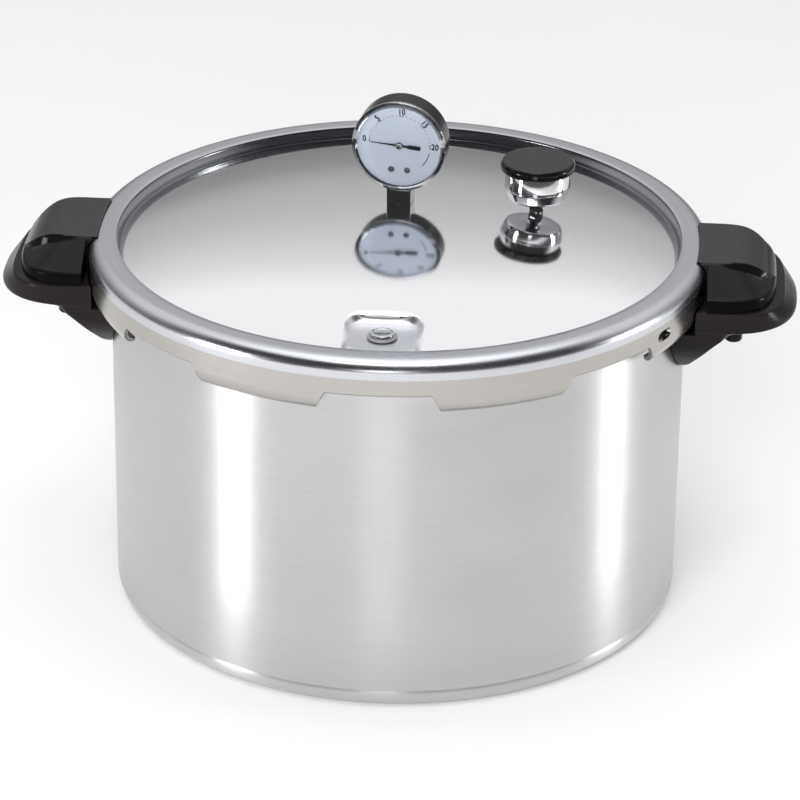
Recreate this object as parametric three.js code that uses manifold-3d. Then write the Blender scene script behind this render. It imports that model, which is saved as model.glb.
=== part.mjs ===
// A stove-top pressure canner: drawn aluminium pot, bayonet cover with a domed top,
// phenolic handles, dial pressure gauge, dead-weight regulator and cover lock.
//
// Frame: origin at the centre of the pot's base, +Z up, the two handles on -X and +X,
// the cover lock towards -Y (the front). All sizes in millimetres.

import * as THREE from 'three';
import { mergeVertices } from 'three/addons/utils/BufferGeometryUtils.js';
import Module from 'manifold-3d';

const wasm = await Module();
wasm.setup();

// ---------------------------------------------------------------- driving dimensions

const SEGMENTS = 64;             // facets round every large turned shell
const GAP = 0.35;                // air left between pieces that touch on the real canner

// Pot
const POT_RADIUS = 158;          // outside of the straight wall
const POT_WALL = 2.4;
const POT_BASE = 4;              // thickness of the base
const POT_CORNER = 9;            // outside radius where wall meets base
const POT_HEIGHT = 200;          // base to the top of the rim
const RIM_BEAD = 1.3;            // how far the rolled rim stands out of the wall
const RIM_BEAD_HEIGHT = 5;

// Cover
const COVER_OVERHANG = 12;       // pot's wall out to the outside of the skirt
const COVER_SHEET = 2.3;
const RING_WIDTH = 16;           // flat ring round the dome, skirt to step
const RING_ROUND = 7;            // rounding from ring to skirt
const COVER_RISE = 10;           // ring top above the pot's rim
const STEP_DEPTH = 6.9;          // ring top down to the edge of the dome
const DOME_HEIGHT = 10;          // middle of the dome above the ring top
const DOME_CROWN_RADIUS = 1100;  // curvature in the middle; it tightens towards the edge
const SKIRT_DEPTH = 18.5;        // ring top down to the skirt's lower edge

// Bayonet lugs
const LUG_COUNT = 8;
const LUG_PHASE = 23.5;          // degrees from the front to the middle of the first lug
const COVER_LUG_ARC = 24;        // degrees
const COVER_LUG_DEPTH = 31;      // ring top down to the lowest point of a lug
const COVER_LUG_CURL = 9;        // radius that curls the lug in under the rim
const POT_LUG_ARC = 16;          // degrees
const POT_LUG_REACH = 8.4;       // how far a pot lug stands out of the wall
const POT_LUG_THICKNESS = 16.5;
const LUG_CLEARANCE = 2.6;       // cover lug to pot wall

// Gasket-release window in the skirt
const WINDOW_ANGLE = 60;
const WINDOW_LENGTH = 12.5;
const WINDOW_HEIGHT = 6;
const WINDOW_DEPTH = 16.5;       // ring top down to its middle

// Handles; reaches are measured outwards along X from the outside of the skirt
const HANDLE_LAP = 1;            // how far the wings lap inside the skirt's radius
const RIDGE_LAP = 7;             // how far the ridge laps over the ring
const RIDGE_HALF_WIDTH = 27;
const RIDGE_TOP = 1.9;           // crown of the ridge above the ring top
const COVER_HANDLE_HALF_WIDTH = 48;
const COVER_HANDLE_REACH = 36.5;
const COVER_HANDLE_BOTTOM = 19.2; // ring top down to its underside
const WING_DEPTH = 13;           // ring top down to the top edge of the wings
const HANDLE_JOINT_GAP = 0.6;    // cover handle to body handle
const BODY_HANDLE_HALF_WIDTH = 50;
const BODY_HANDLE_REACH = 48.5;
const BODY_HANDLE_LIP_REACH = 42;
const BODY_HANDLE_WALL = 4.6;
const FOOT_DEPTH = 62.5;         // ring top down to the end of the foot
const FOOT_TOP_DEPTH = 33;       // ring top down to where the foot passes under the skirt
const BOLT_REACH = 15;           // bolt that holds each body handle
const BOLT_RADIUS = 2;
const BOLT_CLEARANCE = 0.4;      // bolts and screws to the holes they pass through
const BOLT_END_DEPTH = 53;       // ring top down to the bolt's lower end
const BOLT_POST_RADIUS = 4.9;
const NUT_END_DEPTH = 56.6;      // ring top down to the nut's lower end
const BRACKET_HALF_ARC = 8;      // degrees each side of the handle's middle
const BRACKET_TOP_DEPTH = 36;
const BRACKET_END_DEPTH = 58;
const TONGUE_DEPTH = 47;         // ring top down to the underside of the bracket's tongue
const TONGUE_THICKNESS = 2.6;
const TONGUE_HALF_WIDTH = 12;
const TONGUE_PAST_BOLT = 7;      // bolt to the end of the tongue
const TAB_REACH = 22;            // metal tab inside the cover handle
const TAB_HALF_WIDTH = 14;
const TAB_TOP_DEPTH = 13.6;
const TAB_THICKNESS = 2.9;
const TAB_SCREW_REACH = 13;
const TAB_SCREW_Y = 7;

// Fittings on the dome, as [x, y]
const GAUGE_AT = [-1, 19];
const GAUGE_TURN = -6.6;         // degrees about Z
const VENT_AT = [74, 20];
const PLUG_AT = [-7, 95];
const PLUG_HOLE = 5;             // radius
const LOCK_INSET = 20;           // lock's middle in from the edge of the dome

// Cover lock and its flat pad
const PAD_WIDTH = 37;
const PAD_ROUND = 8;
const PAD_DEPTH = 2.5;           // ring top down to the pad
const LOCK_HOLE = 4.6;           // radius
const LOCK_TRAVEL = 5.2;
const LOCK_STEM = 2;             // radius
const LOCK_COLLAR = 3.5;         // radius
const LOCK_COLLAR_DROP = 11;     // pad down to the top of the collar
const LOCK_COLLAR_HEIGHT = 3.2;
const BRACKET_PLATE = 2.4;

// Vent pipe and regulator
const VENT_SHANK = 3;            // radius
const VENT_NIPPLE = 2.4;         // radius
const VENT_TOP = 18.3;           // above the dome
const WEIGHT_BOTTOM = 8;
const WEIGHT_TOP = 24.1;
const WEIGHT_RADIUS = 18.3;
const CAP_RADIUS = 20.4;
const CAP_TOP = 30;

// Gauge
const GAUGE_CENTRE = 35;         // height of the pointer's axis above the dome
const CASE_RADIUS = 25.7;
const CASE_WALL = 1.2;
const CASE_FRONT = -6;
const CASE_BACK = 9.8;
const LENS_LAP = 0.3;            // how far the lens stands out past the case
const LENS_FRONT = -9.8;
const STEM_WIDTH = 13.5;
const STEM_SHANK = 4;            // radius
const DIAL_FACE = -5;            // y of the dial's front
const POINTER_START = 4;         // degrees clockwise from nine o'clock
const MODULE = 0.4;              // gear tooth size
const PINION_TEETH = 10;
const SECTOR_TEETH = 50;         // on the full circle
const MESH_CLEARANCE = 0.15;
const SECTOR_PIVOT_ANGLE = 235;  // degrees, seen from the front, from pinion to sector pivot
const SECTOR_TAIL = 7;
const TUBE_INSET = 7.2;          // outside of the case to the middle of the pressure tube
const TUBE_START = -72;          // degrees
const TUBE_END = 203;
const DIAL_SCREW_X = 4.45;
const DIAL_SCREW_DROP = 14.5;    // below the pointer's axis
const DIAL_SCREW_RADIUS = 0.75;

// Rack
const RACK_CLEARANCE = 10.6;     // rack to the inside of the wall
const RACK_HEIGHT = 14;
const RACK_SHEET = 1.4;
const RACK_HOLE = 8;             // radius

// ---------------------------------------------------------------- derived sizes

const COVER_RADIUS = POT_RADIUS + COVER_OVERHANG;
const RING_TOP = POT_HEIGHT + COVER_RISE;
const RING_INNER = COVER_RADIUS - RING_WIDTH;
const SKIRT_INNER = COVER_RADIUS - COVER_SHEET;
const POT_INNER = POT_RADIUS - POT_WALL;
const LUG_PITCH = 360 / LUG_COUNT;
const PAD_TOP = RING_TOP - PAD_DEPTH;
const HANDLE_SPLIT = RING_TOP - COVER_HANDLE_BOTTOM;
const BODY_HANDLE_TOP = HANDLE_SPLIT - HANDLE_JOINT_GAP;
const HANDLE_INNER = COVER_RADIUS - HANDLE_LAP;
const RIDGE_INNER = COVER_RADIUS - RIDGE_LAP;
const COVER_HANDLE_TIP = COVER_RADIUS + COVER_HANDLE_REACH;
const BODY_HANDLE_TIP = COVER_RADIUS + BODY_HANDLE_REACH;
const BODY_HANDLE_LIP_TIP = COVER_RADIUS + BODY_HANDLE_LIP_REACH;
const BODY_HANDLE_INNER = POT_RADIUS - 15;
const BOLT_X = COVER_RADIUS + BOLT_REACH;
const BOLT_HOLE = BOLT_RADIUS + BOLT_CLEARANCE;
const TONGUE_TIP = BOLT_X + TONGUE_PAST_BOLT;
const TAB_TIP = COVER_RADIUS + TAB_REACH;
const TAB_SCREW_X = COVER_RADIUS + TAB_SCREW_REACH;
const LOCK_AT = [2, LOCK_INSET - RING_INNER];
const LENS_RADIUS = CASE_RADIUS + LENS_LAP;
const TUBE_RADIUS = CASE_RADIUS - TUBE_INSET;
const RACK_RADIUS = POT_INNER - RACK_CLEARANCE;

// The dome falls from its middle as r^2 / 2R plus a quartic term, which is sized so that
// the edge lies STEP_DEPTH below the ring.
const DOME_QUARTIC = (DOME_HEIGHT + STEP_DEPTH - RING_INNER ** 2 / (2 * DOME_CROWN_RADIUS)) / RING_INNER ** 4;

function domeTop(radius) {
  return RING_TOP + DOME_HEIGHT - radius ** 2 / (2 * DOME_CROWN_RADIUS) - DOME_QUARTIC * radius ** 4;
}

// ---------------------------------------------------------------- materials

function finish(color, roughness, metalness) {
  return new THREE.MeshStandardMaterial({ color, roughness, metalness });
}

const SATIN_ALUMINIUM = finish(0xc9cace, 0.38, 1);
const POLISHED_ALUMINIUM = finish(0xd4d5d8, 0.16, 1);
const PHENOLIC = finish(0x17171a, 0.28, 0);
const CHROME = finish(0xd8dade, 0.08, 1);
const STEEL = finish(0xb4b6ba, 0.3, 1);
const BRASS = finish(0xb6954c, 0.35, 1);
const RUBBER = finish(0x1c1c1e, 0.75, 0);
const DIAL_WHITE = finish(0xe9ecf0, 0.5, 0);
const CLEAR_PLASTIC = new THREE.MeshStandardMaterial({
  color: 0xf2f6f8,
  roughness: 0.05,
  metalness: 0,
  transparent: true,
  opacity: 0.3,
});
const POINTER_BLACK = finish(0x111111, 0.5, 0);

// ---------------------------------------------------------------- solids

function signedVolume(position, index) {
  let total = 0;
  const corner = [new THREE.Vector3(), new THREE.Vector3(), new THREE.Vector3()];
  for (let i = 0; i < index.count; i += 3) {
    corner.forEach((point, k) => point.fromBufferAttribute(position, index.getX(i + k)));
    total += corner[0].dot(corner[1].clone().cross(corner[2])) / 6;
  }
  return total;
}

// Turns a three.js geometry into a solid that can be cut and joined.
function solid(source) {
  const geometry = source.clone();
  geometry.deleteAttribute('normal');
  geometry.deleteAttribute('uv');
  const merged = mergeVertices(geometry, 1e-4);
  const triangles = Uint32Array.from(merged.index.array);
  if (signedVolume(merged.attributes.position, merged.index) < 0) {
    for (let i = 0; i < triangles.length; i += 3) {
      [triangles[i], triangles[i + 1]] = [triangles[i + 1], triangles[i]];
    }
  }
  const vertices = Float32Array.from(merged.attributes.position.array);
  return new wasm.Manifold(new wasm.Mesh({ numProp: 3, vertProperties: vertices, triVerts: triangles }));
}

function geometryOf(body) {
  const mesh = body.getMesh();
  const geometry = new THREE.BufferGeometry();
  geometry.setAttribute('position', new THREE.BufferAttribute(mesh.vertProperties, 3));
  geometry.setIndex(new THREE.BufferAttribute(mesh.triVerts, 1));
  geometry.computeVertexNormals();
  return geometry;
}

function vectors(points) {
  return points.map(([a, b]) => new THREE.Vector2(a, b));
}

// Turns a profile of [radius, height] points about Z.
function turned(profile, segments = SEGMENTS) {
  return solid(new THREE.LatheGeometry(vectors(profile), segments).rotateX(Math.PI / 2));
}

// A closed profile that doesn't reach the axis: the first point is repeated at the end.
function turnedRing(profile, segments = SEGMENTS) {
  return turned([...profile, profile[0]], segments);
}

// Turns a profile of [radius, y] points about Y.
function turnedAboutY(profile, segments = 32) {
  return solid(new THREE.LatheGeometry(vectors(profile), segments));
}

function extruded(outline, depth) {
  const shape = new THREE.Shape(vectors(outline));
  return new THREE.ExtrudeGeometry(shape, { depth, bevelEnabled: false, steps: 1 });
}

// An [x, y] outline from z = low to z = high.
function prismZ(outline, low, high) {
  return solid(extruded(outline, high - low).translate(0, 0, low));
}

// An [x, z] outline from y = low to y = high.
function prismY(outline, low, high) {
  return solid(extruded(outline, high - low).rotateX(Math.PI / 2).translate(0, high, 0));
}

// A [y, z] outline from x = low to x = high.
function prismX(outline, low, high) {
  const axes = new THREE.Matrix4().makeBasis(
    new THREE.Vector3(0, 1, 0),
    new THREE.Vector3(0, 0, 1),
    new THREE.Vector3(1, 0, 0),
  );
  return solid(extruded(outline, high - low).applyMatrix4(axes).translate(low, 0, 0));
}

function block([x0, x1], [y0, y1], [z0, z1]) {
  const box = new THREE.BoxGeometry(x1 - x0, y1 - y0, z1 - z0);
  return solid(box.translate((x0 + x1) / 2, (y0 + y1) / 2, (z0 + z1) / 2));
}

function rod(x, y, radius, low, high, segments = 12) {
  const cylinder = new THREE.CylinderGeometry(radius, radius, high - low, segments);
  return solid(cylinder.rotateX(Math.PI / 2).translate(x, y, (low + high) / 2));
}

// A rod along Y, centred on [x, z].
function rodY(x, z, radius, low, high, segments = 12) {
  const cylinder = new THREE.CylinderGeometry(radius, radius, high - low, segments);
  return solid(cylinder.translate(x, (low + high) / 2, z));
}

function joined(bodies) {
  return bodies.reduce((sum, body) => sum.add(body));
}

function mirroredOutline(half) {
  return [...half, ...half.slice().reverse().map(([a, b]) => [-a, b])];
}

// Points on an arc; angles in degrees.
function arc(centreA, centreB, radius, from, to, steps) {
  return Array.from({ length: steps + 1 }, (_, i) => {
    const angle = THREE.MathUtils.degToRad(from + ((to - from) * i) / steps);
    return [centreA + radius * Math.cos(angle), centreB + radius * Math.sin(angle)];
  });
}

function pointOn([a, b], radius, degrees) {
  const angle = THREE.MathUtils.degToRad(degrees);
  return [a + radius * Math.cos(angle), b + radius * Math.sin(angle)];
}

// A point on a circle about Z; the angle runs from the front (-Y) towards +X.
function around(degrees, radius) {
  const angle = THREE.MathUtils.degToRad(degrees);
  return [radius * Math.sin(angle), -radius * Math.cos(angle)];
}

function sector(centre, width, inner, outer, low, high) {
  const steps = 4;
  const angles = Array.from({ length: steps + 1 }, (_, i) => centre + width * (i / steps - 0.5));
  const outline = [
    ...angles.map((angle) => around(angle, outer)),
    ...angles.slice().reverse().map((angle) => around(angle, inner)),
  ];
  return prismZ(outline, low, high);
}

function roundedSquare(centre, width, round) {
  const half = width / 2 - round;
  return [0, 90, 180, 270].flatMap((start) => {
    const middle = THREE.MathUtils.degToRad(start + 45);
    const x = centre[0] + Math.sign(Math.cos(middle)) * half;
    const y = centre[1] + Math.sign(Math.sin(middle)) * half;
    return arc(x, y, round, start, start + 90, 3);
  });
}

function hexagon(centre, acrossFlats) {
  return arc(centre[0], centre[1], acrossFlats / Math.sqrt(3), 30, 330, 5);
}

// ---------------------------------------------------------------- scene graph

const canner = new THREE.Group();

function addTo(group, name, body, material) {
  const mesh = new THREE.Mesh(geometryOf(body), material.clone());
  mesh.name = name;
  group.add(mesh);
  return mesh;
}

function add(name, body, material) {
  return addTo(canner, name, body, material);
}

// ---------------------------------------------------------------- pot

function pot() {
  const beadRadius = POT_RADIUS + RIM_BEAD;
  const innerCorner = POT_CORNER - POT_WALL;
  const shell = turned([
    [0, 0],
    ...arc(POT_RADIUS - POT_CORNER, POT_CORNER, POT_CORNER, -90, 0, 4),
    [POT_RADIUS, POT_HEIGHT - RIM_BEAD_HEIGHT - RIM_BEAD],
    [beadRadius, POT_HEIGHT - RIM_BEAD_HEIGHT],
    [beadRadius, POT_HEIGHT - 0.8],
    [beadRadius - 0.8, POT_HEIGHT],
    [POT_INNER + 0.6, POT_HEIGHT],
    [POT_INNER, POT_HEIGHT - 0.6],
    ...arc(POT_INNER - innerCorner, POT_BASE + innerCorner, innerCorner, 0, -90, 3),
    [0, POT_BASE],
  ]);
  const reach = POT_RADIUS + POT_LUG_REACH;
  const underside = POT_HEIGHT - POT_LUG_THICKNESS;
  const lugRing = turnedRing([
    [POT_INNER + 1, POT_HEIGHT],
    [POT_INNER + 1, underside],
    [POT_RADIUS + POT_LUG_REACH / 2, underside],
    [reach, underside + 3.5],
    [reach, POT_HEIGHT - 1.5],
    [reach - 1.5, POT_HEIGHT],
  ]);
  const lugs = Array.from({ length: LUG_COUNT }, (_, i) => {
    const middle = LUG_PHASE + i * LUG_PITCH;
    return lugRing.intersect(sector(middle, POT_LUG_ARC, POT_INNER - 5, reach + 10, underside - 1, POT_HEIGHT + 1));
  });
  return joined([shell, ...lugs]);
}

// ---------------------------------------------------------------- cover

const DOME_RADII = [0, 0.13, 0.26, 0.48, 0.66, 0.8, 0.915, 1].map((share) => share * RING_INNER);

function coverShell() {
  const crown = COVER_RADIUS - RING_ROUND;
  const under = RING_TOP - COVER_SHEET;
  const stepOuter = RING_INNER + COVER_SHEET;
  return turned([
    ...DOME_RADII.map((radius) => [radius, domeTop(radius)]),
    [RING_INNER, RING_TOP - 1],
    [RING_INNER + 1, RING_TOP],
    ...arc(crown, RING_TOP - RING_ROUND, RING_ROUND, 90, 0, 3),
    [COVER_RADIUS, RING_TOP - SKIRT_DEPTH],
    [SKIRT_INNER, RING_TOP - SKIRT_DEPTH],
    ...arc(crown, RING_TOP - RING_ROUND, RING_ROUND - COVER_SHEET, 0, 90, 2),
    [stepOuter, under],
    [stepOuter, domeTop(RING_INNER) - COVER_SHEET],
    ...DOME_RADII.slice(0, -1).reverse().map((radius) => [radius, domeTop(radius) - COVER_SHEET]),
  ]);
}

// Eight lugs that hang from the skirt and curl in under the rim.
function coverLugs() {
  const curlCentreR = COVER_RADIUS - COVER_LUG_CURL;
  const curlCentreZ = RING_TOP - COVER_LUG_DEPTH + COVER_LUG_CURL;
  const lip = POT_RADIUS + LUG_CLEARANCE;
  const profile = turnedRing([
    [COVER_RADIUS, RING_TOP - SKIRT_DEPTH + 1],
    ...arc(curlCentreR, curlCentreZ, COVER_LUG_CURL, 0, -90, 3),
    [lip, RING_TOP - COVER_LUG_DEPTH],
    [lip, RING_TOP - COVER_LUG_DEPTH + COVER_SHEET],
    ...arc(curlCentreR, curlCentreZ, COVER_LUG_CURL - COVER_SHEET, -90, 0, 2),
    [SKIRT_INNER, RING_TOP - SKIRT_DEPTH + 1],
  ]);
  const low = RING_TOP - COVER_LUG_DEPTH - 1;
  const high = RING_TOP - SKIRT_DEPTH + 2;
  return Array.from({ length: LUG_COUNT }, (_, i) => {
    const middle = LUG_PHASE + i * LUG_PITCH;
    return profile.intersect(sector(middle, COVER_LUG_ARC, lip - 2, COVER_RADIUS + 5, low, high));
  });
}

// A flat pad is pressed into the dome under the cover lock, with a short wall round it.
function withPad(shell) {
  const outer = roundedSquare(LOCK_AT, PAD_WIDTH + 2 * COVER_SHEET, PAD_ROUND + COVER_SHEET);
  const inner = roundedSquare(LOCK_AT, PAD_WIDTH, PAD_ROUND);
  const low = domeTop(RING_INNER) - COVER_SHEET;
  const high = RING_TOP + DOME_HEIGHT;
  const underDome = turned([
    [0, low - 5],
    [RING_INNER, low - 5],
    ...DOME_RADII.slice().reverse().map((radius) => [radius, domeTop(radius)]),
  ]);
  const frame = prismZ(outer, low, high).subtract(prismZ(inner, low - 1, high + 1));
  const reachable = underDome.add(prismZ(outer, low - 1, PAD_TOP));
  return shell
    .subtract(prismZ(inner, low - 1, high + 1))
    .add(frame.intersect(reachable))
    .add(prismZ(outer, PAD_TOP - COVER_SHEET, PAD_TOP).intersect(reachable));
}

function handleTabs() {
  const high = RING_TOP - TAB_TOP_DEPTH;
  const low = high - TAB_THICKNESS;
  return [-1, 1].map((side) => {
    const span = [side * (SKIRT_INNER + 0.5), side * TAB_TIP].sort((a, b) => a - b);
    const plate = block(span, [-TAB_HALF_WIDTH, TAB_HALF_WIDTH], [low, high]);
    const holes = [-TAB_SCREW_Y, TAB_SCREW_Y].map((y) => rod(side * TAB_SCREW_X, y, BOLT_HOLE, low - 1, high + 1));
    return plate.subtract(joined(holes));
  });
}

function windowCut() {
  const half = WINDOW_LENGTH / 2 - WINDOW_HEIGHT / 2;
  const outline = [
    ...arc(half, 0, WINDOW_HEIGHT / 2, -90, 90, 6),
    ...arc(-half, 0, WINDOW_HEIGHT / 2, 90, 270, 6),
  ];
  const depth = 14;
  const geometry = extruded(outline, depth)
    .rotateX(Math.PI / 2)
    .translate(0, -COVER_RADIUS + depth / 2, RING_TOP - WINDOW_DEPTH)
    .rotateZ(THREE.MathUtils.degToRad(WINDOW_ANGLE));
  return solid(geometry);
}

function cover() {
  const holes = [
    rod(...GAUGE_AT, STEM_SHANK + 0.4, RING_TOP - 5, RING_TOP + 20),
    rod(...VENT_AT, VENT_SHANK + 0.4, RING_TOP - 5, RING_TOP + 20),
    rod(...PLUG_AT, PLUG_HOLE, RING_TOP - 10, RING_TOP + 20),
    rod(...LOCK_AT, LOCK_HOLE, PAD_TOP - 8, PAD_TOP + 8),
  ];
  return joined([withPad(coverShell()), ...coverLugs(), ...handleTabs()])
    .subtract(windowCut())
    .subtract(joined(holes));
}

function sealingRing() {
  const inner = RING_INNER + COVER_SHEET + GAP + 0.15;
  const outer = SKIRT_INNER - GAP - 0.15;
  const low = POT_HEIGHT + GAP;
  const top = RING_TOP - COVER_SHEET - GAP;
  const crown = COVER_RADIUS - RING_ROUND;
  return turnedRing([
    [inner, low],
    [inner + 3, low],
    [inner + 5, low + 3],
    [outer - 3, low],
    [outer, low],
    [outer, top - RING_ROUND + COVER_SHEET],
    [crown, top],
    [inner + 0.8, top],
    [inner, top - 0.8],
  ]);
}

// ---------------------------------------------------------------- handles (built at +X)

// A D-shaped outline: parallel sides that round off to a blunt tip.
function dOutline(inner, straight, tip, halfWidth) {
  const exponent = 2 / 3.2;
  const steps = 7;
  const curve = Array.from({ length: steps + 1 }, (_, i) => {
    const angle = (Math.PI / 2) * (i / steps);
    const x = straight + (tip - straight) * Math.sin(angle) ** exponent;
    return [x, -halfWidth * Math.cos(angle) ** exponent];
  });
  const front = [[inner, -halfWidth], ...curve];
  const back = front.slice(0, -1).reverse().map(([x, y]) => [x, -y]);
  return [...front, ...back];
}

// What the cover fills, with the handle's clearance, for cutting the cover handle.
function coverEnvelope() {
  const crown = COVER_RADIUS - RING_ROUND;
  return turned([
    [0, RING_TOP - 40],
    [COVER_RADIUS + 0.5, RING_TOP - 40],
    ...arc(crown, RING_TOP - RING_ROUND, RING_ROUND + 0.5, 0, 90, 4),
    [0, RING_TOP + 0.5],
  ]);
}

function coverHandle() {
  const low = HANDLE_SPLIT;
  const wing = RING_TOP - WING_DEPTH;
  const top = RING_TOP + RIDGE_TOP;
  const across = mirroredOutline([
    [COVER_HANDLE_HALF_WIDTH, low],
    [COVER_HANDLE_HALF_WIDTH, wing],
    [RIDGE_HALF_WIDTH + 4, RING_TOP - 2.6],
    [RIDGE_HALF_WIDTH + 0.5, RING_TOP - 1.6],
    [RIDGE_HALF_WIDTH - 2, top - 1.3],
    [RIDGE_HALF_WIDTH / 2, top - 0.3],
  ]);
  const along = [
    [RIDGE_INNER, low],
    [COVER_HANDLE_TIP, low],
    [COVER_HANDLE_TIP, wing],
    [COVER_HANDLE_TIP - 3, wing + 4.5],
    [COVER_HANDLE_TIP - 9, wing + 9.5],
    [COVER_HANDLE_TIP - 17, top - 2],
    [COVER_HANDLE_TIP - 27, top],
    [RIDGE_INNER, top],
  ];
  const outline = dOutline(HANDLE_INNER, HANDLE_INNER + 4, COVER_HANDLE_TIP, COVER_HANDLE_HALF_WIDTH);
  const plan = prismZ(outline, low - 1, top + 1);
  const ridgeEnd = block([RIDGE_INNER, HANDLE_INNER + 1], [-RIDGE_HALF_WIDTH, RIDGE_HALF_WIDTH], [RING_TOP, top + 1]);
  const tabTop = RING_TOP - TAB_TOP_DEPTH + GAP;
  const pocket = block(
    [RIDGE_INNER - 10, TAB_TIP + 0.5],
    [-TAB_HALF_WIDTH - 0.5, TAB_HALF_WIDTH + 0.5],
    [low - 1, tabTop],
  );
  const screwHoles = [-TAB_SCREW_Y, TAB_SCREW_Y].map((y) => rod(TAB_SCREW_X, y, BOLT_HOLE, tabTop - 1, tabTop + 6));
  return plan
    .add(ridgeEnd)
    .intersect(prismX(across, RIDGE_INNER - 10, COVER_HANDLE_TIP + 10))
    .intersect(prismY(along, -70, 70))
    .subtract(coverEnvelope())
    .subtract(pocket)
    .subtract(joined(screwHoles));
}

// A pan-head screw that comes up through the metal tab into the cover handle.
function coverHandleScrew(y) {
  const underTab = RING_TOP - TAB_TOP_DEPTH - TAB_THICKNESS - GAP;
  const tip = RING_TOP - TAB_TOP_DEPTH + 5.5;
  const shank = rod(TAB_SCREW_X, y, BOLT_RADIUS, underTab - 1, tip);
  return shank.add(rod(TAB_SCREW_X, y, 3.9, underTab - 1.7, underTab, 16));
}

function bodyHandle() {
  const top = BODY_HANDLE_TOP;
  const foot = RING_TOP - FOOT_DEPTH;
  const shelf = RING_TOP - FOOT_TOP_DEPTH;
  const skirt = COVER_RADIUS + 0.8;
  const across = mirroredOutline([
    [20, foot],
    [BODY_HANDLE_HALF_WIDTH - 22, foot + 1.8],
    [BODY_HANDLE_HALF_WIDTH - 14, foot + 6.5],
    [BODY_HANDLE_HALF_WIDTH - 5, foot + 14.5],
    [BODY_HANDLE_HALF_WIDTH, foot + 23],
    [BODY_HANDLE_HALF_WIDTH, top],
  ]);
  const along = [
    [BODY_HANDLE_INNER, foot],
    [POT_RADIUS + 3, foot],
    [POT_RADIUS + 7, foot + 3.5],
    [POT_RADIUS + 14, foot + 14],
    [POT_RADIUS + 22, foot + 23.5],
    [POT_RADIUS + 32, foot + 29],
    [BODY_HANDLE_TIP - 3.5, foot + 30],
    [BODY_HANDLE_TIP, foot + 32.5],
    [BODY_HANDLE_TIP - 0.5, foot + 36.5],
    [BODY_HANDLE_LIP_TIP, top],
    [BODY_HANDLE_INNER, top],
  ];
  const cavityFloor = foot - 5;
  const cavityRoof = top - BODY_HANDLE_WALL;
  const cavityOutline = dOutline(
    BOLT_X - 9,
    BOLT_X - 7,
    BODY_HANDLE_TIP - BODY_HANDLE_WALL - 1,
    BODY_HANDLE_HALF_WIDTH - BODY_HANDLE_WALL,
  );
  const tongueTop = RING_TOP - TONGUE_DEPTH + TONGUE_THICKNESS;
  const post = rod(BOLT_X, 0, BOLT_POST_RADIUS, tongueTop + GAP, cavityRoof + 1, 20);
  const boltHole = rod(BOLT_X, 0, BOLT_HOLE, cavityFloor, cavityRoof - 3);
  const wallSpace = turned([
    [0, foot - 5],
    [POT_RADIUS + GAP, foot - 5],
    [POT_RADIUS + GAP, shelf],
    [skirt, shelf],
    [skirt, top + 5],
    [0, top + 5],
  ]);
  const plan = dOutline(BODY_HANDLE_INNER, BOLT_X - 9, BODY_HANDLE_TIP, BODY_HANDLE_HALF_WIDTH);
  return prismZ(plan, foot - 1, top + 1)
    .intersect(prismX(across, BODY_HANDLE_INNER - 5, BODY_HANDLE_TIP + 10))
    .intersect(prismY(along, -70, 70))
    .subtract(prismZ(cavityOutline, cavityFloor, cavityRoof))
    .add(post)
    .subtract(boltHole)
    .subtract(wallSpace)
    .subtract(bracketSpace());
}

// A curved plate on the pot's wall with a tongue that runs out inside the body handle.
function bodyBracket() {
  const inner = POT_RADIUS + GAP;
  const low = RING_TOP - BRACKET_END_DEPTH;
  const high = RING_TOP - BRACKET_TOP_DEPTH;
  const plate = sector(90, 2 * BRACKET_HALF_ARC, inner, inner + TONGUE_THICKNESS, low, high);
  const tongueLow = RING_TOP - TONGUE_DEPTH;
  const tongue = block(
    [inner + 1.5, TONGUE_TIP],
    [-TONGUE_HALF_WIDTH, TONGUE_HALF_WIDTH],
    [tongueLow, tongueLow + TONGUE_THICKNESS],
  );
  return plate.add(tongue).subtract(rod(BOLT_X, 0, BOLT_HOLE, tongueLow - 1, tongueLow + TONGUE_THICKNESS + 1));
}

function bracketSpace() {
  const low = RING_TOP - BRACKET_END_DEPTH - GAP;
  const high = RING_TOP - BRACKET_TOP_DEPTH + GAP;
  const reach = POT_RADIUS + TONGUE_THICKNESS + 2 * GAP;
  const tongueLow = RING_TOP - TONGUE_DEPTH - GAP;
  const tongueHigh = RING_TOP - TONGUE_DEPTH + TONGUE_THICKNESS + GAP;
  const slot = block(
    [POT_RADIUS, TONGUE_TIP + 2],
    [-TONGUE_HALF_WIDTH - 0.4, TONGUE_HALF_WIDTH + 0.4],
    [tongueLow, tongueHigh],
  );
  return sector(90, 2 * BRACKET_HALF_ARC + 0.4, POT_RADIUS - 10, reach, low, high).add(slot);
}

function bodyHandleBolt() {
  return rod(BOLT_X, 0, BOLT_RADIUS, RING_TOP - BOLT_END_DEPTH, BODY_HANDLE_TOP - BODY_HANDLE_WALL - 3.5);
}

function bodyHandleNut() {
  const top = RING_TOP - TONGUE_DEPTH - GAP;
  const low = RING_TOP - NUT_END_DEPTH;
  const bore = BOLT_RADIUS + GAP;
  const boreEnd = RING_TOP - BOLT_END_DEPTH - 0.4;
  const outside = turned(
    [
      [0, low],
      [BOLT_POST_RADIUS - 1, low],
      [BOLT_POST_RADIUS, low + 1],
      [BOLT_POST_RADIUS, top],
      [bore, top],
      [bore, boreEnd],
      [0, boreEnd],
    ],
    20,
  );
  return outside.translate([BOLT_X, 0, 0]);
}

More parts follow.
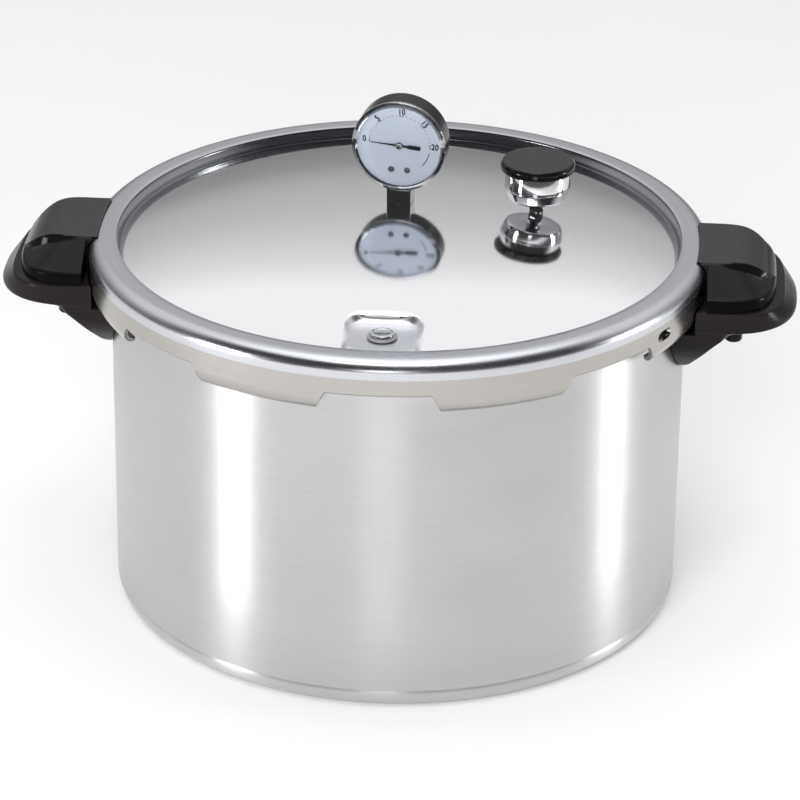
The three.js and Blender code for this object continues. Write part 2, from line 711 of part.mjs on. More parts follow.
function addHandles() {
  const sides = [
    ['right', 0],
    ['left', Math.PI],
  ];
  sides.forEach(([side, turn]) => {
    const group = new THREE.Group();
    group.rotation.z = turn;
    canner.add(group);
    addTo(group, `cover_handle_${side}`, coverHandle(), PHENOLIC);
    addTo(group, `cover_handle_screw_${side}_1`, coverHandleScrew(-TAB_SCREW_Y), STEEL);
    addTo(group, `cover_handle_screw_${side}_2`, coverHandleScrew(TAB_SCREW_Y), STEEL);
    addTo(group, `body_handle_${side}`, bodyHandle(), PHENOLIC);
    addTo(group, `body_bracket_${side}`, bodyBracket(), SATIN_ALUMINIUM);
    addTo(group, `body_handle_bolt_${side}`, bodyHandleBolt(), STEEL);
    addTo(group, `body_handle_nut_${side}`, bodyHandleNut(), PHENOLIC);
  });
}

// ---------------------------------------------------------------- cover lock

function lockGasket() {
  const flange = PAD_TOP + GAP;
  const under = PAD_TOP - COVER_SHEET - GAP;
  const bore = LOCK_STEM + 0.5;
  const neck = LOCK_HOLE - GAP;
  const outside = turnedRing(
    [
      [bore, under - 1.6],
      [neck + 1.8, under - 1.6],
      [neck + 1.8, under],
      [neck, under],
      [neck, flange],
      [LOCK_HOLE + 3.4, flange],
      [LOCK_HOLE + 3, flange + 1.2],
      [bore, flange + 1.2],
    ],
    16,
  );
  return outside.translate([...LOCK_AT, 0]);
}

function lockPin() {
  const head = PAD_TOP + 2 * GAP + 1.2;
  const collarTop = PAD_TOP - LOCK_COLLAR_DROP;
  const pin = turned(
    [
      [0, collarTop - LOCK_COLLAR_HEIGHT],
      [LOCK_COLLAR, collarTop - LOCK_COLLAR_HEIGHT],
      [LOCK_COLLAR, collarTop],
      [LOCK_STEM, collarTop],
      [LOCK_STEM, head],
      [6, head],
      [6.4, head + 0.5],
      [6, head + 1.1],
      [0, head + 1.3],
    ],
    16,
  );
  return pin.translate([...LOCK_AT, 0]);
}

// A plate fixed inside the pot's rim. The pin's stem slides out through the slot while
// the pin is down; raised, the collar fills the round end of the slot and stops the turn.
function lockingBracket() {
  const raisedCollarTop = PAD_TOP - LOCK_COLLAR_DROP + LOCK_TRAVEL;
  const high = raisedCollarTop - 1.8;
  const low = high - BRACKET_PLATE;
  const [pinX, pinY] = LOCK_AT;
  const pinRadius = Math.hypot(pinX, pinY);
  const pinAngle = THREE.MathUtils.radToDeg(Math.atan2(pinX, -pinY));
  const wall = POT_INNER - GAP;
  const from = pinAngle - 4;
  const to = pinAngle + 8;
  const middle = (from + to) / 2;
  const plate = sector(middle, to - from, pinRadius - 9, wall - 0.6, low, high);
  const flange = sector(middle, to - from, wall - 2.6, wall - 0.6, low - 16, high);
  const slot = sector(pinAngle + 6, 12, pinRadius - LOCK_STEM - 0.8, pinRadius + LOCK_STEM + 0.8, low - 1, high + 1);
  const seat = rod(pinX, pinY, LOCK_COLLAR + 0.6, low - 1, high + 1, 16);
  return plate.add(flange).subtract(slot).subtract(seat);
}

// ---------------------------------------------------------------- plug, vent, regulator

function overpressurePlug() {
  const surface = domeTop(Math.hypot(...PLUG_AT));
  const plug = turned(
    [
      [0, surface - COVER_SHEET - 3.4],
      [5.4, surface - COVER_SHEET - 3.4],
      [PLUG_HOLE + 1, surface - COVER_SHEET - 1.4],
      [PLUG_HOLE - 0.4, surface - COVER_SHEET - 1.2],
      [PLUG_HOLE - 0.4, surface + 1],
      [7, surface + 1],
      [6.6, surface + 3],
      [4.5, surface + 4.2],
      [3.6, surface + 3.4],
      [0, surface + 3.2],
    ],
    16,
  );
  return plug.translate([...PLUG_AT, 0]);
}

const VENT_RADIUS = Math.hypot(...VENT_AT);
const VENT_SEAT = domeTop(VENT_RADIUS);
const VENT_UNDER = VENT_SEAT - COVER_SHEET;

function ventPipe() {
  const base = VENT_SEAT + 0.8;
  const hex = prismZ(hexagon(VENT_AT, 8), base, VENT_SEAT + 6);
  const nipple = turned(
    [
      [0, VENT_SEAT + 5],
      [VENT_NIPPLE + 0.5, VENT_SEAT + 5],
      [VENT_NIPPLE, VENT_SEAT + 8],
      [VENT_NIPPLE, VENT_SEAT + VENT_TOP - 1],
      [VENT_NIPPLE - 0.8, VENT_SEAT + VENT_TOP],
      [0, VENT_SEAT + VENT_TOP],
    ],
    16,
  ).translate([...VENT_AT, 0]);
  const shank = rod(...VENT_AT, VENT_SHANK, VENT_UNDER - 8, base + 0.5);
  const bore = rod(...VENT_AT, 1.1, VENT_UNDER - 9, VENT_SEAT + VENT_TOP + 1, 10);
  return hex.add(nipple).add(shank).subtract(bore);
}

function hexNut([x, y], acrossFlats, holeRadius, low, high) {
  return prismZ(hexagon([x, y], acrossFlats), low, high).subtract(rod(x, y, holeRadius, low - 1, high + 1, 16));
}

function regulatorWeight() {
  const bore = VENT_NIPPLE + 0.5;
  const boreTop = VENT_TOP + GAP;
  const profile = [
    [0, boreTop],
    [bore, boreTop],
    [bore, WEIGHT_BOTTOM + 1.5],
    [bore + 2, WEIGHT_BOTTOM + 0.2],
    [WEIGHT_RADIUS - 3.6, WEIGHT_BOTTOM],
    [WEIGHT_RADIUS - 2, WEIGHT_BOTTOM + 0.9],
    [WEIGHT_RADIUS, WEIGHT_BOTTOM + 6.2],
    [WEIGHT_RADIUS - 0.7, WEIGHT_BOTTOM + 7.2],
    [WEIGHT_RADIUS - 0.2, WEIGHT_BOTTOM + 8],
    [WEIGHT_RADIUS - 1.1, WEIGHT_TOP],
    [0, WEIGHT_TOP],
  ];
  return turned(profile, 30).translate([...VENT_AT, VENT_SEAT]);
}

function regulatorCap() {
  const low = WEIGHT_TOP + GAP;
  const profile = [
    [0, low],
    [CAP_RADIUS - 0.8, low],
    [CAP_RADIUS, low + 0.8],
    [CAP_RADIUS, CAP_TOP - 2.2],
    [CAP_RADIUS - 0.7, CAP_TOP - 0.7],
    [CAP_RADIUS - 2.2, CAP_TOP],
    [0, CAP_TOP - 0.3],
  ];
  return turned(profile, 30).translate([...VENT_AT, VENT_SEAT]);
}

// ---------------------------------------------------------------- gauge
// Built in its own group: x to the right, y into the case, z up from the dome's surface.

const SECTOR_DISTANCE = (MODULE * (PINION_TEETH + SECTOR_TEETH)) / 2 + MESH_CLEARANCE;
const SECTOR_PIVOT = pointOn([0, GAUGE_CENTRE], SECTOR_DISTANCE, SECTOR_PIVOT_ANGLE);
const MESH_ANGLE = SECTOR_PIVOT_ANGLE - 180;
const TAIL_END = pointOn(SECTOR_PIVOT, SECTOR_TAIL, MESH_ANGLE + 157);

function gaugeCase() {
  const shell = turnedAboutY([
    [0, CASE_BACK],
    [CASE_RADIUS - 1, CASE_BACK],
    [CASE_RADIUS, CASE_BACK - 1],
    [CASE_RADIUS, CASE_FRONT],
    [CASE_RADIUS - CASE_WALL, CASE_FRONT],
    [CASE_RADIUS - CASE_WALL, CASE_BACK - CASE_WALL],
    [0, CASE_BACK - CASE_WALL],
  ]).translate([0, 0, GAUGE_CENTRE]);
  const half = STEM_WIDTH / 2 + GAP;
  return shell.subtract(block([-half, half], [CASE_FRONT - 1, half], [0, GAUGE_CENTRE - CASE_RADIUS + 6]));
}

function gaugeLens() {
  return turnedAboutY([
    [0, LENS_FRONT],
    [LENS_RADIUS - 1.2, LENS_FRONT],
    [LENS_RADIUS, LENS_FRONT + 1],
    [LENS_RADIUS, CASE_FRONT - GAP],
    [LENS_RADIUS - 1.7, CASE_FRONT - GAP],
    [LENS_RADIUS - 1.7, LENS_FRONT + 1.2],
    [0, LENS_FRONT + 1.2],
  ]).translate([0, 0, GAUGE_CENTRE]);
}

function gaugeDial() {
  const radius = CASE_RADIUS - CASE_WALL - GAP;
  const disc = rodY(0, GAUGE_CENTRE, radius, DIAL_FACE, DIAL_FACE + 0.6, 40);
  const holes = [
    rodY(0, GAUGE_CENTRE, 1.6, DIAL_FACE - 1, DIAL_FACE + 2, 12),
    ...[-DIAL_SCREW_X, DIAL_SCREW_X].map((x) => (
      rodY(x, GAUGE_CENTRE - DIAL_SCREW_DROP, DIAL_SCREW_RADIUS + GAP, DIAL_FACE - 1, DIAL_FACE + 2, 12)
    )),
  ];
  return disc.subtract(joined(holes));
}

function dialScrew(x) {
  const z = GAUGE_CENTRE - DIAL_SCREW_DROP;
  return rodY(x, z, DIAL_SCREW_RADIUS, DIAL_FACE - GAP, DIAL_FACE + 1.05, 10)
    .add(rodY(x, z, 1.8, DIAL_FACE - GAP - 0.8, DIAL_FACE - GAP, 14));
}

function gaugeStem() {
  const half = STEM_WIDTH / 2;
  const under = -COVER_SHEET;
  const underLens = GAUGE_CENTRE - LENS_RADIUS - GAP;
  const square = block([-half, half], [-half, half], [GAP, underLens]);
  const neck = block([-half, half], [-3.9, half], [underLens - 1, GAUGE_CENTRE - CASE_RADIUS + CASE_WALL + 2]);
  const socket = block([-4.5, 4.5], [2.8, half], [underLens - 0.65, GAUGE_CENTRE - 13.5]);
  const shank = rod(0, 0, STEM_SHANK, under - 10, GAP + 1);
  const bore = rod(0, 0, 1.5, under - 11, 9, 10);
  return joined([square, neck, socket, shank]).subtract(bore);
}

function gaugeSeal() {
  const top = -COVER_SHEET - GAP;
  return rod(0, 0, 8, top - 1.6, top, 24).subtract(rod(0, 0, STEM_SHANK + 0.4, top - 3, top + 1, 16));
}

const TUBE_TIP = pointOn([0, GAUGE_CENTRE], TUBE_RADIUS, TUBE_END);

// C-shaped pressure tube, flattened, from the socket round to a free tip on the left.
function bourdonTube() {
  const section = new THREE.Shape(vectors([
    [-2, -0.45],
    [-1.5, -0.75],
    [1.5, -0.75],
    [2, -0.45],
    [2, 0.45],
    [1.5, 0.75],
    [-1.5, 0.75],
    [-2, 0.45],
  ]));
  const route = new THREE.CatmullRomCurve3(
    arc(0, GAUGE_CENTRE, TUBE_RADIUS, TUBE_START, TUBE_END, 16).map(([x, z]) => new THREE.Vector3(x, 5, z)),
  );
  const tube = solid(new THREE.ExtrudeGeometry(section, { extrudePath: route, steps: 24, bevelEnabled: false }));
  const [tipX, tipZ] = TUBE_TIP;
  const tip = block([tipX - 1.2, tipX + 1.6], [1.8, 5.5], [tipZ - 2.6, tipZ + 1]);
  return tube.add(tip);
}

// Gear outline as [x, z] points: flat-topped teeth with room for backlash.
function gearPoints(teeth, first, count, phase) {
  const pitch = (MODULE * teeth) / 2;
  const tip = pitch + MODULE * 0.62;
  const root = pitch - MODULE * 0.95;
  const step = 360 / teeth;
  return Array.from({ length: count }, (_, i) => {
    const middle = phase + (first + i) * step;
    return [
      pointOn([0, 0], root, middle - step * 0.36),
      pointOn([0, 0], tip, middle - step * 0.11),
      pointOn([0, 0], tip, middle + step * 0.11),
      pointOn([0, 0], root, middle + step * 0.36),
    ];
  }).flat();
}

function pinionShaft() {
  const toothPhase = MESH_ANGLE + 180;
  const gear = prismY(gearPoints(PINION_TEETH, 0, PINION_TEETH, toothPhase), -1.1, 0.7);
  return gear.translate([0, 0, GAUGE_CENTRE]).add(rodY(0, GAUGE_CENTRE, 0.65, -7.6, 3.2, 12));
}

function gaugePointer() {
  const blade = [
    [-16, 0.15],
    [-16, -0.15],
    [-2, -0.55],
    [5, -0.6],
    [5.6, -1.1],
    [11.8, -1.1],
    [11.8, 1.1],
    [5.6, 1.1],
    [5, 0.6],
    [-2, 0.55],
  ];
  const needle = prismY(blade, -6.7, -6.2).add(rodY(0, 0, 2.1, -6.9, -5.7, 20));
  return needle
    .subtract(rodY(0, 0, 1, -8, -5, 12))
    .rotate([0, POINTER_START, 0])
    .translate([0, 0, GAUGE_CENTRE]);
}

function sectorGear() {
  const step = 360 / SECTOR_TEETH;
  const teeth = gearPoints(SECTOR_TEETH, -8, 10, MESH_ANGLE + step / 2);
  const outline = [[0, 0], ...teeth];
  const gear = prismY(outline, -0.9, 0.5);
  const tail = block([-SECTOR_TAIL - 1, 0], [-0.9, 0.5], [-1.2, 1.2]).rotate([0, -(MESH_ANGLE - 23), 0]);
  const arbor = rodY(0, 0, 0.8, -2.6 - GAP - 1.1, 3.2, 12);
  const hub = rodY(0, 0, 2.2, -1.6, 1, 16);
  return joined([gear, tail, hub, arbor]).translate([SECTOR_PIVOT[0], 0, SECTOR_PIVOT[1]]);
}

// The link's far hole, on the corner of the block at the tube's tip.
const LINK_END = [TUBE_TIP[0] + 2.63, TUBE_TIP[1] - 2.77];

function gaugeLink() {
  const [x0, z0] = TAIL_END;
  const [x1, z1] = LINK_END;
  const length = Math.hypot(x1 - x0, z1 - z0);
  const angle = THREE.MathUtils.radToDeg(Math.atan2(z1 - z0, x1 - x0));
  const bar = [...arc(0, 0, 1, 90, 270, 5), ...arc(length, 0, 1, -90, 90, 5)];
  return prismY(bar, 0.85, 1.35).rotate([0, -angle, 0]).translate([x0, 0, z0]);
}

// Two plates and their pillars, which carry the pinion and the sector between them.
function movementFrame() {
  const outline = [
    [-10, 22.5],
    [-6, 18.5],
    [6.5, 18.5],
    [9.5, 24],
    [9.5, 36],
    [3, 39],
    [-3, 38.5],
    [-10, 28],
  ];
  const front = prismY(outline, -3.7, -2.9);
  const back = prismY(outline, 1.7, 2.45);
  const pillars = [
    [7.6, 34],
    [7.2, 22],
  ].map(([x, z]) => rodY(x, z, 1.1, -3.5, 2.2, 12));
  const bearings = [
    [0, GAUGE_CENTRE, 0.95],
    [...SECTOR_PIVOT, 1.1],
  ].map(([x, z, radius]) => rodY(x, z, radius, -6, 5, 12));
  return joined([front, back, ...pillars]).subtract(joined(bearings));
}

function addGauge() {
  const group = new THREE.Group();
  group.position.set(...GAUGE_AT, domeTop(Math.hypot(...GAUGE_AT)));
  group.rotation.z = THREE.MathUtils.degToRad(GAUGE_TURN);
  canner.add(group);
  const sealBottom = -COVER_SHEET - 2 * GAP - 1.6;
  addTo(group, 'gauge_case', gaugeCase(), PHENOLIC);
  addTo(group, 'gauge_lens', gaugeLens(), CLEAR_PLASTIC);
  addTo(group, 'gauge_dial', gaugeDial(), DIAL_WHITE);
  addTo(group, 'dial_screw_left', dialScrew(-DIAL_SCREW_X), STEEL);
  addTo(group, 'dial_screw_right', dialScrew(DIAL_SCREW_X), STEEL);
  addTo(group, 'gauge_stem', gaugeStem(), CHROME);
  addTo(group, 'gauge_seal', gaugeSeal(), RUBBER);
  addTo(group, 'gauge_nut', hexNut([0, 0], 14, STEM_SHANK + GAP, sealBottom - 4, sealBottom), STEEL);
  addTo(group, 'bourdon_tube', bourdonTube(), BRASS);
  addTo(group, 'movement_frame', movementFrame(), BRASS);
  addTo(group, 'pinion_shaft', pinionShaft(), BRASS);
  addTo(group, 'gauge_pointer', gaugePointer(), POINTER_BLACK);
  addTo(group, 'sector_gear', sectorGear(), BRASS);
  addTo(group, 'gauge_link', gaugeLink(), BRASS);
}

// ---------------------------------------------------------------- rack

// A perforated plate with a turned-down rim that keeps jars off the base.
function rack() {
  const floor = POT_BASE + GAP;
  const top = floor + RACK_HEIGHT;
  const plate = turned([
    [0, top - RACK_SHEET],
    [RACK_RADIUS - 2 - RACK_SHEET, top - RACK_SHEET],
    [RACK_RADIUS - RACK_SHEET, top - RACK_SHEET - 2],
    [RACK_RADIUS - RACK_SHEET, floor],
    [RACK_RADIUS, floor],
    [RACK_RADIUS, top - 2],
    [RACK_RADIUS - 2, top],
    [0, top],
  ]);
  const rings = [
    [6, 50],
    [12, 105],
  ];
  const holes = rings.flatMap(([count, radius]) => (
    Array.from({ length: count }, (_, i) => rod(...around((360 * i) / count, radius), RACK_HOLE, 0, top + 5, 8))
  ));
  return plate.subtract(joined([rod(0, 0, RACK_HOLE * 1.5, 0, top + 5, 14), ...holes]));
}

// ---------------------------------------------------------------- assembly

add('canner_body', pot(), SATIN_ALUMINIUM);
add('locking_bracket', lockingBracket(), STEEL);
add('rack', rack(), SATIN_ALUMINIUM);
add('cover', cover(), POLISHED_ALUMINIUM);
add('sealing_ring', sealingRing(), RUBBER);
addHandles();
add('lock_gasket', lockGasket(), RUBBER);
add('lock_pin', lockPin(), CHROME);
add('overpressure_plug', overpressurePlug(), RUBBER);
add('vent_pipe', ventPipe(), CHROME);
add('vent_nut', hexNut(VENT_AT, 11, VENT_SHANK + GAP, VENT_UNDER - 5, VENT_UNDER - 0.9), STEEL);
add('regulator_weight', regulatorWeight(), CHROME);
add('regulator_cap', regulatorCap(), PHENOLIC);
addGauge();

export default canner;
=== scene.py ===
"""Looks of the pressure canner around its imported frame."""

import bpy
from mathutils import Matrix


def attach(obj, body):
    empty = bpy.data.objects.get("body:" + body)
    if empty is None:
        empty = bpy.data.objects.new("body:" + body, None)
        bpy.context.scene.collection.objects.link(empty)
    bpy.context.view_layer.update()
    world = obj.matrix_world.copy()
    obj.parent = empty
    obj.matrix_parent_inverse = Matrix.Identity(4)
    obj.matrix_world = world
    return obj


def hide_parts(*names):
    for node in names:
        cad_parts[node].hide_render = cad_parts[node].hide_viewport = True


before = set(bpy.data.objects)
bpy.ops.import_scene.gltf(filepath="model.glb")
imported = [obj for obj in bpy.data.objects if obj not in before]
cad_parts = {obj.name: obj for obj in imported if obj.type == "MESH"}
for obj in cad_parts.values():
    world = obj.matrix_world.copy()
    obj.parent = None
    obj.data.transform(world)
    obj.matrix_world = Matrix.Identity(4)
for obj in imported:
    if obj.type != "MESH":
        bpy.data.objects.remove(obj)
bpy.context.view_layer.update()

import math
import bmesh
import bpy
import numpy as np
from mathutils import Matrix, Vector

MM = 0.001
TAU = 2 * math.pi

# ------------ sizes, in millimetres and degrees
COVER_R = 170.0       # outside of the cover's skirt
SHOULDER = 7.0        # radius between the ring and the skirt
RING_TOP = 210.0
RING_IN = 154.0       # where the step between the dome and the ring stands
POT_R = 158.0
POT_TOP = 200.0
SHEET = 2.3           # thickness of the cover's metal
STEP = 6.9            # from the ring down to the dome's edge
DOME = 10.0           # from the ring up to the dome's middle
CROWN = 1100.0        # radius of the dome's middle
QUARTIC = (DOME + STEP - RING_IN ** 2 / (2 * CROWN)) / RING_IN ** 4
GAUGE_AT = (-1.0, 19.0)
GAUGE_TURN = -6.6
GAUGE_CENTRE = 35.0   # the dial's middle above the dome
CASE_R = 25.69
LENS_R = 25.99
VENT_AT = (74.0, 20.0)
PLUG_AT = (-7.0, 95.0)
LOCK_AT = (2.0, -134.0)
PAD_TOP = RING_TOP - 2.5
PAD_HALF, PAD_CORNER = 18.5, 8.0
LUGS = 8
LUG_PITCH = 360 / LUGS
LUG_PHASE = 23.5      # from the front to the first lug's middle
LUG_HALF = 13.4       # half width of a cover lug at its foot
LUG_FLANK = 3.2       # what each of its sides takes of that
WINDOW_ANGLE = 60.0
BOLT_X = 185.0
TAB_TOP = RING_TOP - 13.6
TAB_THICKNESS = 2.9
TAB_HALF = 14.0
HANDLE_CLEARANCE = 0.5
HANDLE_POWER = 3.2    # exponent of the handles' outline, which is a superellipse


def dome_top(r):
    return RING_TOP + DOME - r ** 2 / (2 * CROWN) - QUARTIC * r ** 4


GAUGE_Z = dome_top(math.hypot(*GAUGE_AT))
VENT_Z = dome_top(math.hypot(*VENT_AT))
PLUG_Z = dome_top(math.hypot(*PLUG_AT))


def spin(degrees, axis="Z"):
    return Matrix.Rotation(math.radians(degrees), 4, axis)


def shift(x, y, z=0.0):
    return Matrix.Translation((x, y, z))


# ------------ materials
class Nodes:
    """A short way to build a node tree."""

    def __init__(self, tree):
        self.tree = tree
        self.tree.nodes.clear()

    def feed(self, socket, value):
        """Links an output into the socket, or sets the socket's own value."""
        if isinstance(value, bpy.types.NodeSocket):
            self.tree.links.new(value, socket)
        else:
            socket.default_value = value

    def new(self, kind, inputs=None, **settings):
        node = self.tree.nodes.new(kind)
        for key, value in settings.items():
            setattr(node, key, value)
        for key, value in (inputs or {}).items():
            self.feed(node.inputs[key], value)
        return node

    def place(self):
        return self.new("ShaderNodeTexCoord").outputs["Object"]

    def maths(self, operation, a, b=0.0, clamp=False):
        return self.new("ShaderNodeMath", {0: a, 1: b}, operation=operation, use_clamp=clamp).outputs[0]

    def ramp(self, value, stops):
        """Grey levels by height, from -1 straight down to 1 straight up, in straight lines between."""
        node = self.new("ShaderNodeValToRGB", {"Fac": value})
        node.color_ramp.interpolation = "LINEAR"
        elements = node.color_ramp.elements
        while len(elements) < len(stops):
            elements.new(0.5)
        for element, (height, grey) in zip(elements, stops):
            element.position = (height + 1) / 2
            element.color = (grey, grey, grey, 1.0)
        return node.outputs["Color"]

    def noise(self, vector, scale, detail=3.0, rough=0.5):
        inputs = {"Vector": vector, "Scale": scale, "Detail": detail, "Roughness": rough}
        return self.new("ShaderNodeTexNoise", inputs).outputs["Fac"]

    def mix_colour(self, factor, a, b):
        a, b = ((*c, 1.0) if isinstance(c, tuple) else c for c in (a, b))
        return self.new("ShaderNodeMix", {0: factor, 6: a, 7: b}, data_type="RGBA").outputs[2]

    def remap(self, value, low, high, to_low=0.0, to_high=1.0, **settings):
        inputs = {"Value": value, "From Min": low, "From Max": high, "To Min": to_low, "To Max": to_high}
        return self.new("ShaderNodeMapRange", inputs, **settings).outputs["Result"]

    def spread(self, value, low, high):
        """A noise, which lies mostly within 0.3 to 0.7, to low..high."""
        return self.remap(value, 0.3, 0.7, low, high)

    def bump(self, height, strength, distance):
        inputs = {"Strength": strength, "Distance": distance, "Height": height}
        return self.new("ShaderNodeBump", inputs).outputs[0]

    def set(self, shader, **values):
        for key, value in values.items():
            self.feed(shader.inputs[key.replace("_", " ")], value)


def material(name, kind="ShaderNodeBsdfPrincipled"):
    made = bpy.data.materials.new(name)
    made.use_nodes = True
    nodes = Nodes(made.node_tree)
    shader = nodes.new(kind)
    nodes.new("ShaderNodeOutputMaterial", {"Surface": shader.outputs[0]})
    return made, nodes, shader


def around_axis(nodes, along, across):
    """Coordinates for marks that run round a vertical axis: long that way, fine across."""
    x, y, z = nodes.new("ShaderNodeSeparateXYZ", {0: nodes.place()}).outputs
    squares = nodes.maths("ADD", nodes.maths("MULTIPLY", x, x), nodes.maths("MULTIPLY", y, y))
    radius = nodes.maths("SQRT", squares)
    safe = nodes.maths("MAXIMUM", radius, 0.0005)
    cosine = nodes.maths("MULTIPLY", nodes.maths("DIVIDE", x, safe), along)
    sine = nodes.maths("MULTIPLY", nodes.maths("DIVIDE", y, safe), along)
    rise = nodes.maths("MULTIPLY", nodes.maths("ADD", z, radius), across)
    return nodes.new("ShaderNodeCombineXYZ", {0: cosine, 1: sine, 2: rise}).outputs[0]


def brushed(name, colour, rough, streak, anisotropic, bump, across, tint=0.05):
    """Metal finished by turning: fine lines round the axis, cloudy patches, faint smudges."""
    made, nodes, shader = material(name)
    lines = nodes.noise(around_axis(nodes, 3.5, across), 1.0, 4.0, 0.65)
    broad = nodes.noise(around_axis(nodes, 1.6, across * 0.06), 1.0, 2.0, 0.5)
    cloud = nodes.noise(nodes.place(), 14.0, 3.0, 0.6)
    both = nodes.maths("ADD", nodes.maths("MULTIPLY", lines, 0.65), nodes.maths("MULTIPLY", broad, 0.35))
    roughness = nodes.maths(
        "ADD", nodes.spread(both, rough - streak, rough + streak),
        nodes.spread(cloud, -streak * 0.4, streak * 0.4))
    dark = tuple(c * (1 - tint) for c in colour)
    light = tuple(min(1.0, c * (1 + tint)) for c in colour)
    nodes.set(
        shader, Base_Color=nodes.mix_colour(nodes.spread(both, 0.0, 1.0), dark, light),
        Metallic=1.0, Roughness=roughness, Normal=nodes.bump(lines, bump, 0.0004))
    if anisotropic:
        tangent = nodes.new("ShaderNodeTangent", direction_type="RADIAL", axis="Z").outputs[0]
        nodes.set(shader, Anisotropic=anisotropic, Anisotropic_Rotation=0.25, Tangent=tangent)
    return made


def plated(name, colour, rough=0.05):
    """Bright metal with faint clouds."""
    made, nodes, shader = material(name)
    place = nodes.place()
    cloud = nodes.noise(place, 120.0, 4.0, 0.6)
    fine = nodes.noise(place, 1500.0, 2.0, 0.5)
    nodes.set(
        shader, Base_Color=(*colour, 1), Metallic=1.0,
        Roughness=nodes.spread(cloud, rough * 0.6, rough * 1.7), Normal=nodes.bump(fine, 0.015, 0.0002))
    return made


def phenolic(name, rough, colour=(0.006, 0.0055, 0.0055), edge_sheen=(0.03, 0.024, 0.02), grain=0.03, *, level):
    """Moulded black phenolic: faint flow marks, fine orange peel, and a painted highlight, lighter brown on
    sharp edges. level is its gloss.
    """
    made, nodes, shader = material(name)
    place = nodes.place()
    flow = nodes.noise(place, 26.0, 3.0, 0.6)
    peel = nodes.noise(place, 900.0, 2.0, 0.5)
    edge = nodes.new("ShaderNodeNewGeometry").outputs["Pointiness"]
    # painted highlight: sharp edges turn lighter brown
    edge_sheen_share = nodes.maths("MULTIPLY", nodes.remap(edge, 0.56, 0.68), nodes.spread(flow, 0.1, 0.5), clamp=True)
    nodes.set(
        shader, Base_Color=nodes.mix_colour(edge_sheen_share, colour, edge_sheen), Specular_IOR_Level=level,
        Roughness=nodes.spread(flow, rough * 0.88, rough * 1.12), Normal=nodes.bump(peel, grain, 0.0003))
    return made


def matt(name, dark, light, fine, cloud_scale, rough, relief):
    """Clouds from dark to light over a fine grain, whose noise sets the roughness and the bump."""
    made, nodes, shader = material(name)
    place = nodes.place()
    grain = nodes.noise(place, *fine)
    cloud = nodes.noise(place, cloud_scale, 3.0, 0.6)
    nodes.set(
        shader, Base_Color=nodes.mix_colour(nodes.spread(cloud, 0, 1), dark, light),
        Roughness=nodes.spread(grain, *rough), Normal=nodes.bump(grain, *relief))
    return made


def rubber(name, colour):
    light = tuple(c * 1.8 for c in colour)
    return matt(name, colour, light, (1800.0, 3.0, 0.6), 60.0, (0.55, 0.75), (0.15, 0.0003))


def dial_paint(name, colour):
    dark = tuple(c * 0.97 for c in colour)
    return matt(name, dark, colour, (1200.0, 2.0, 0.5), 45.0, (0.4, 0.55), (0.03, 0.0002))


def clear_plastic(name, tint, least):
    """Thin clear moulding: a Fresnel gloss, never under the least share, over what is behind it."""
    made, nodes, shader = material(name, "ShaderNodeMixShader")
    wave = nodes.noise(nodes.place(), 90.0, 2.0, 0.5)
    bump = nodes.bump(wave, 0.02, 0.0005)
    through = nodes.new("ShaderNodeBsdfTransparent", {"Color": (*tint, 1)})
    gloss = nodes.new("ShaderNodeBsdfGlossy", {"Roughness": nodes.spread(wave, 0.02, 0.05), "Normal": bump})
    fresnel = nodes.new("ShaderNodeFresnel", {"IOR": 1.49, "Normal": bump})
    share = nodes.maths("MAXIMUM", fresnel.outputs[0], least)
    for socket, value in zip(shader.inputs, (share, through.outputs[0], gloss.outputs[0])):
        nodes.feed(socket, value)
    return made


WALL = brushed("satin_wall", (0.62, 0.62, 0.625), 0.34, 0.04, 0.92, 0.04, 700.0)
DOME_METAL = brushed("polished_dome", (0.86, 0.865, 0.88), 0.085, 0.02, 0.0, 0.012, 800.0, tint=0.015)
RING_METAL = brushed("turned_ring", (0.56, 0.57, 0.605), 0.25, 0.05, 0.0, 0.03, 900.0, tint=0.03)
SKIRT_METAL = brushed("pressed_skirt", (0.44, 0.424, 0.402), 0.24, 0.05, 0.0, 0.03, 300.0, tint=0.04)
# painted shade: a darker copy of the cover's metal on the skirt's lower rolled edge, for the shade under the
# skirt
EDGE_PAINTED_SHADE_METAL = brushed("rolled_edge_painted_shade", (0.27, 0.262, 0.25), 0.3, 0.05, 0.0, 0.03, 300.0, tint=0.04)
# painted shade: a darker copy of the cover's metal on the step down from the ring to the dome, for the dark
# band there
RISER_PAINTED_SHADE_METAL = brushed("step_painted_shade", (0.3, 0.305, 0.33), 0.2, 0.04, 0.0, 0.02, 800.0, tint=0.03)
INSIDE_METAL = brushed("inside_metal", (0.68, 0.68, 0.68), 0.42, 0.06, 0.0, 0.05, 500.0, tint=0.06)
CHROME = plated("plated", (0.66, 0.665, 0.68))
STEEL = plated("zinc_steel", (0.62, 0.63, 0.65), 0.22)
BRASS = plated("brass_parts", (0.72, 0.55, 0.26), 0.25)
PHENOLIC = phenolic("phenolic_gloss", 0.16, level=0.13)
PHENOLIC_SATIN = phenolic("phenolic_satin", 0.33, (0.009, 0.008, 0.0075), level=0.44)
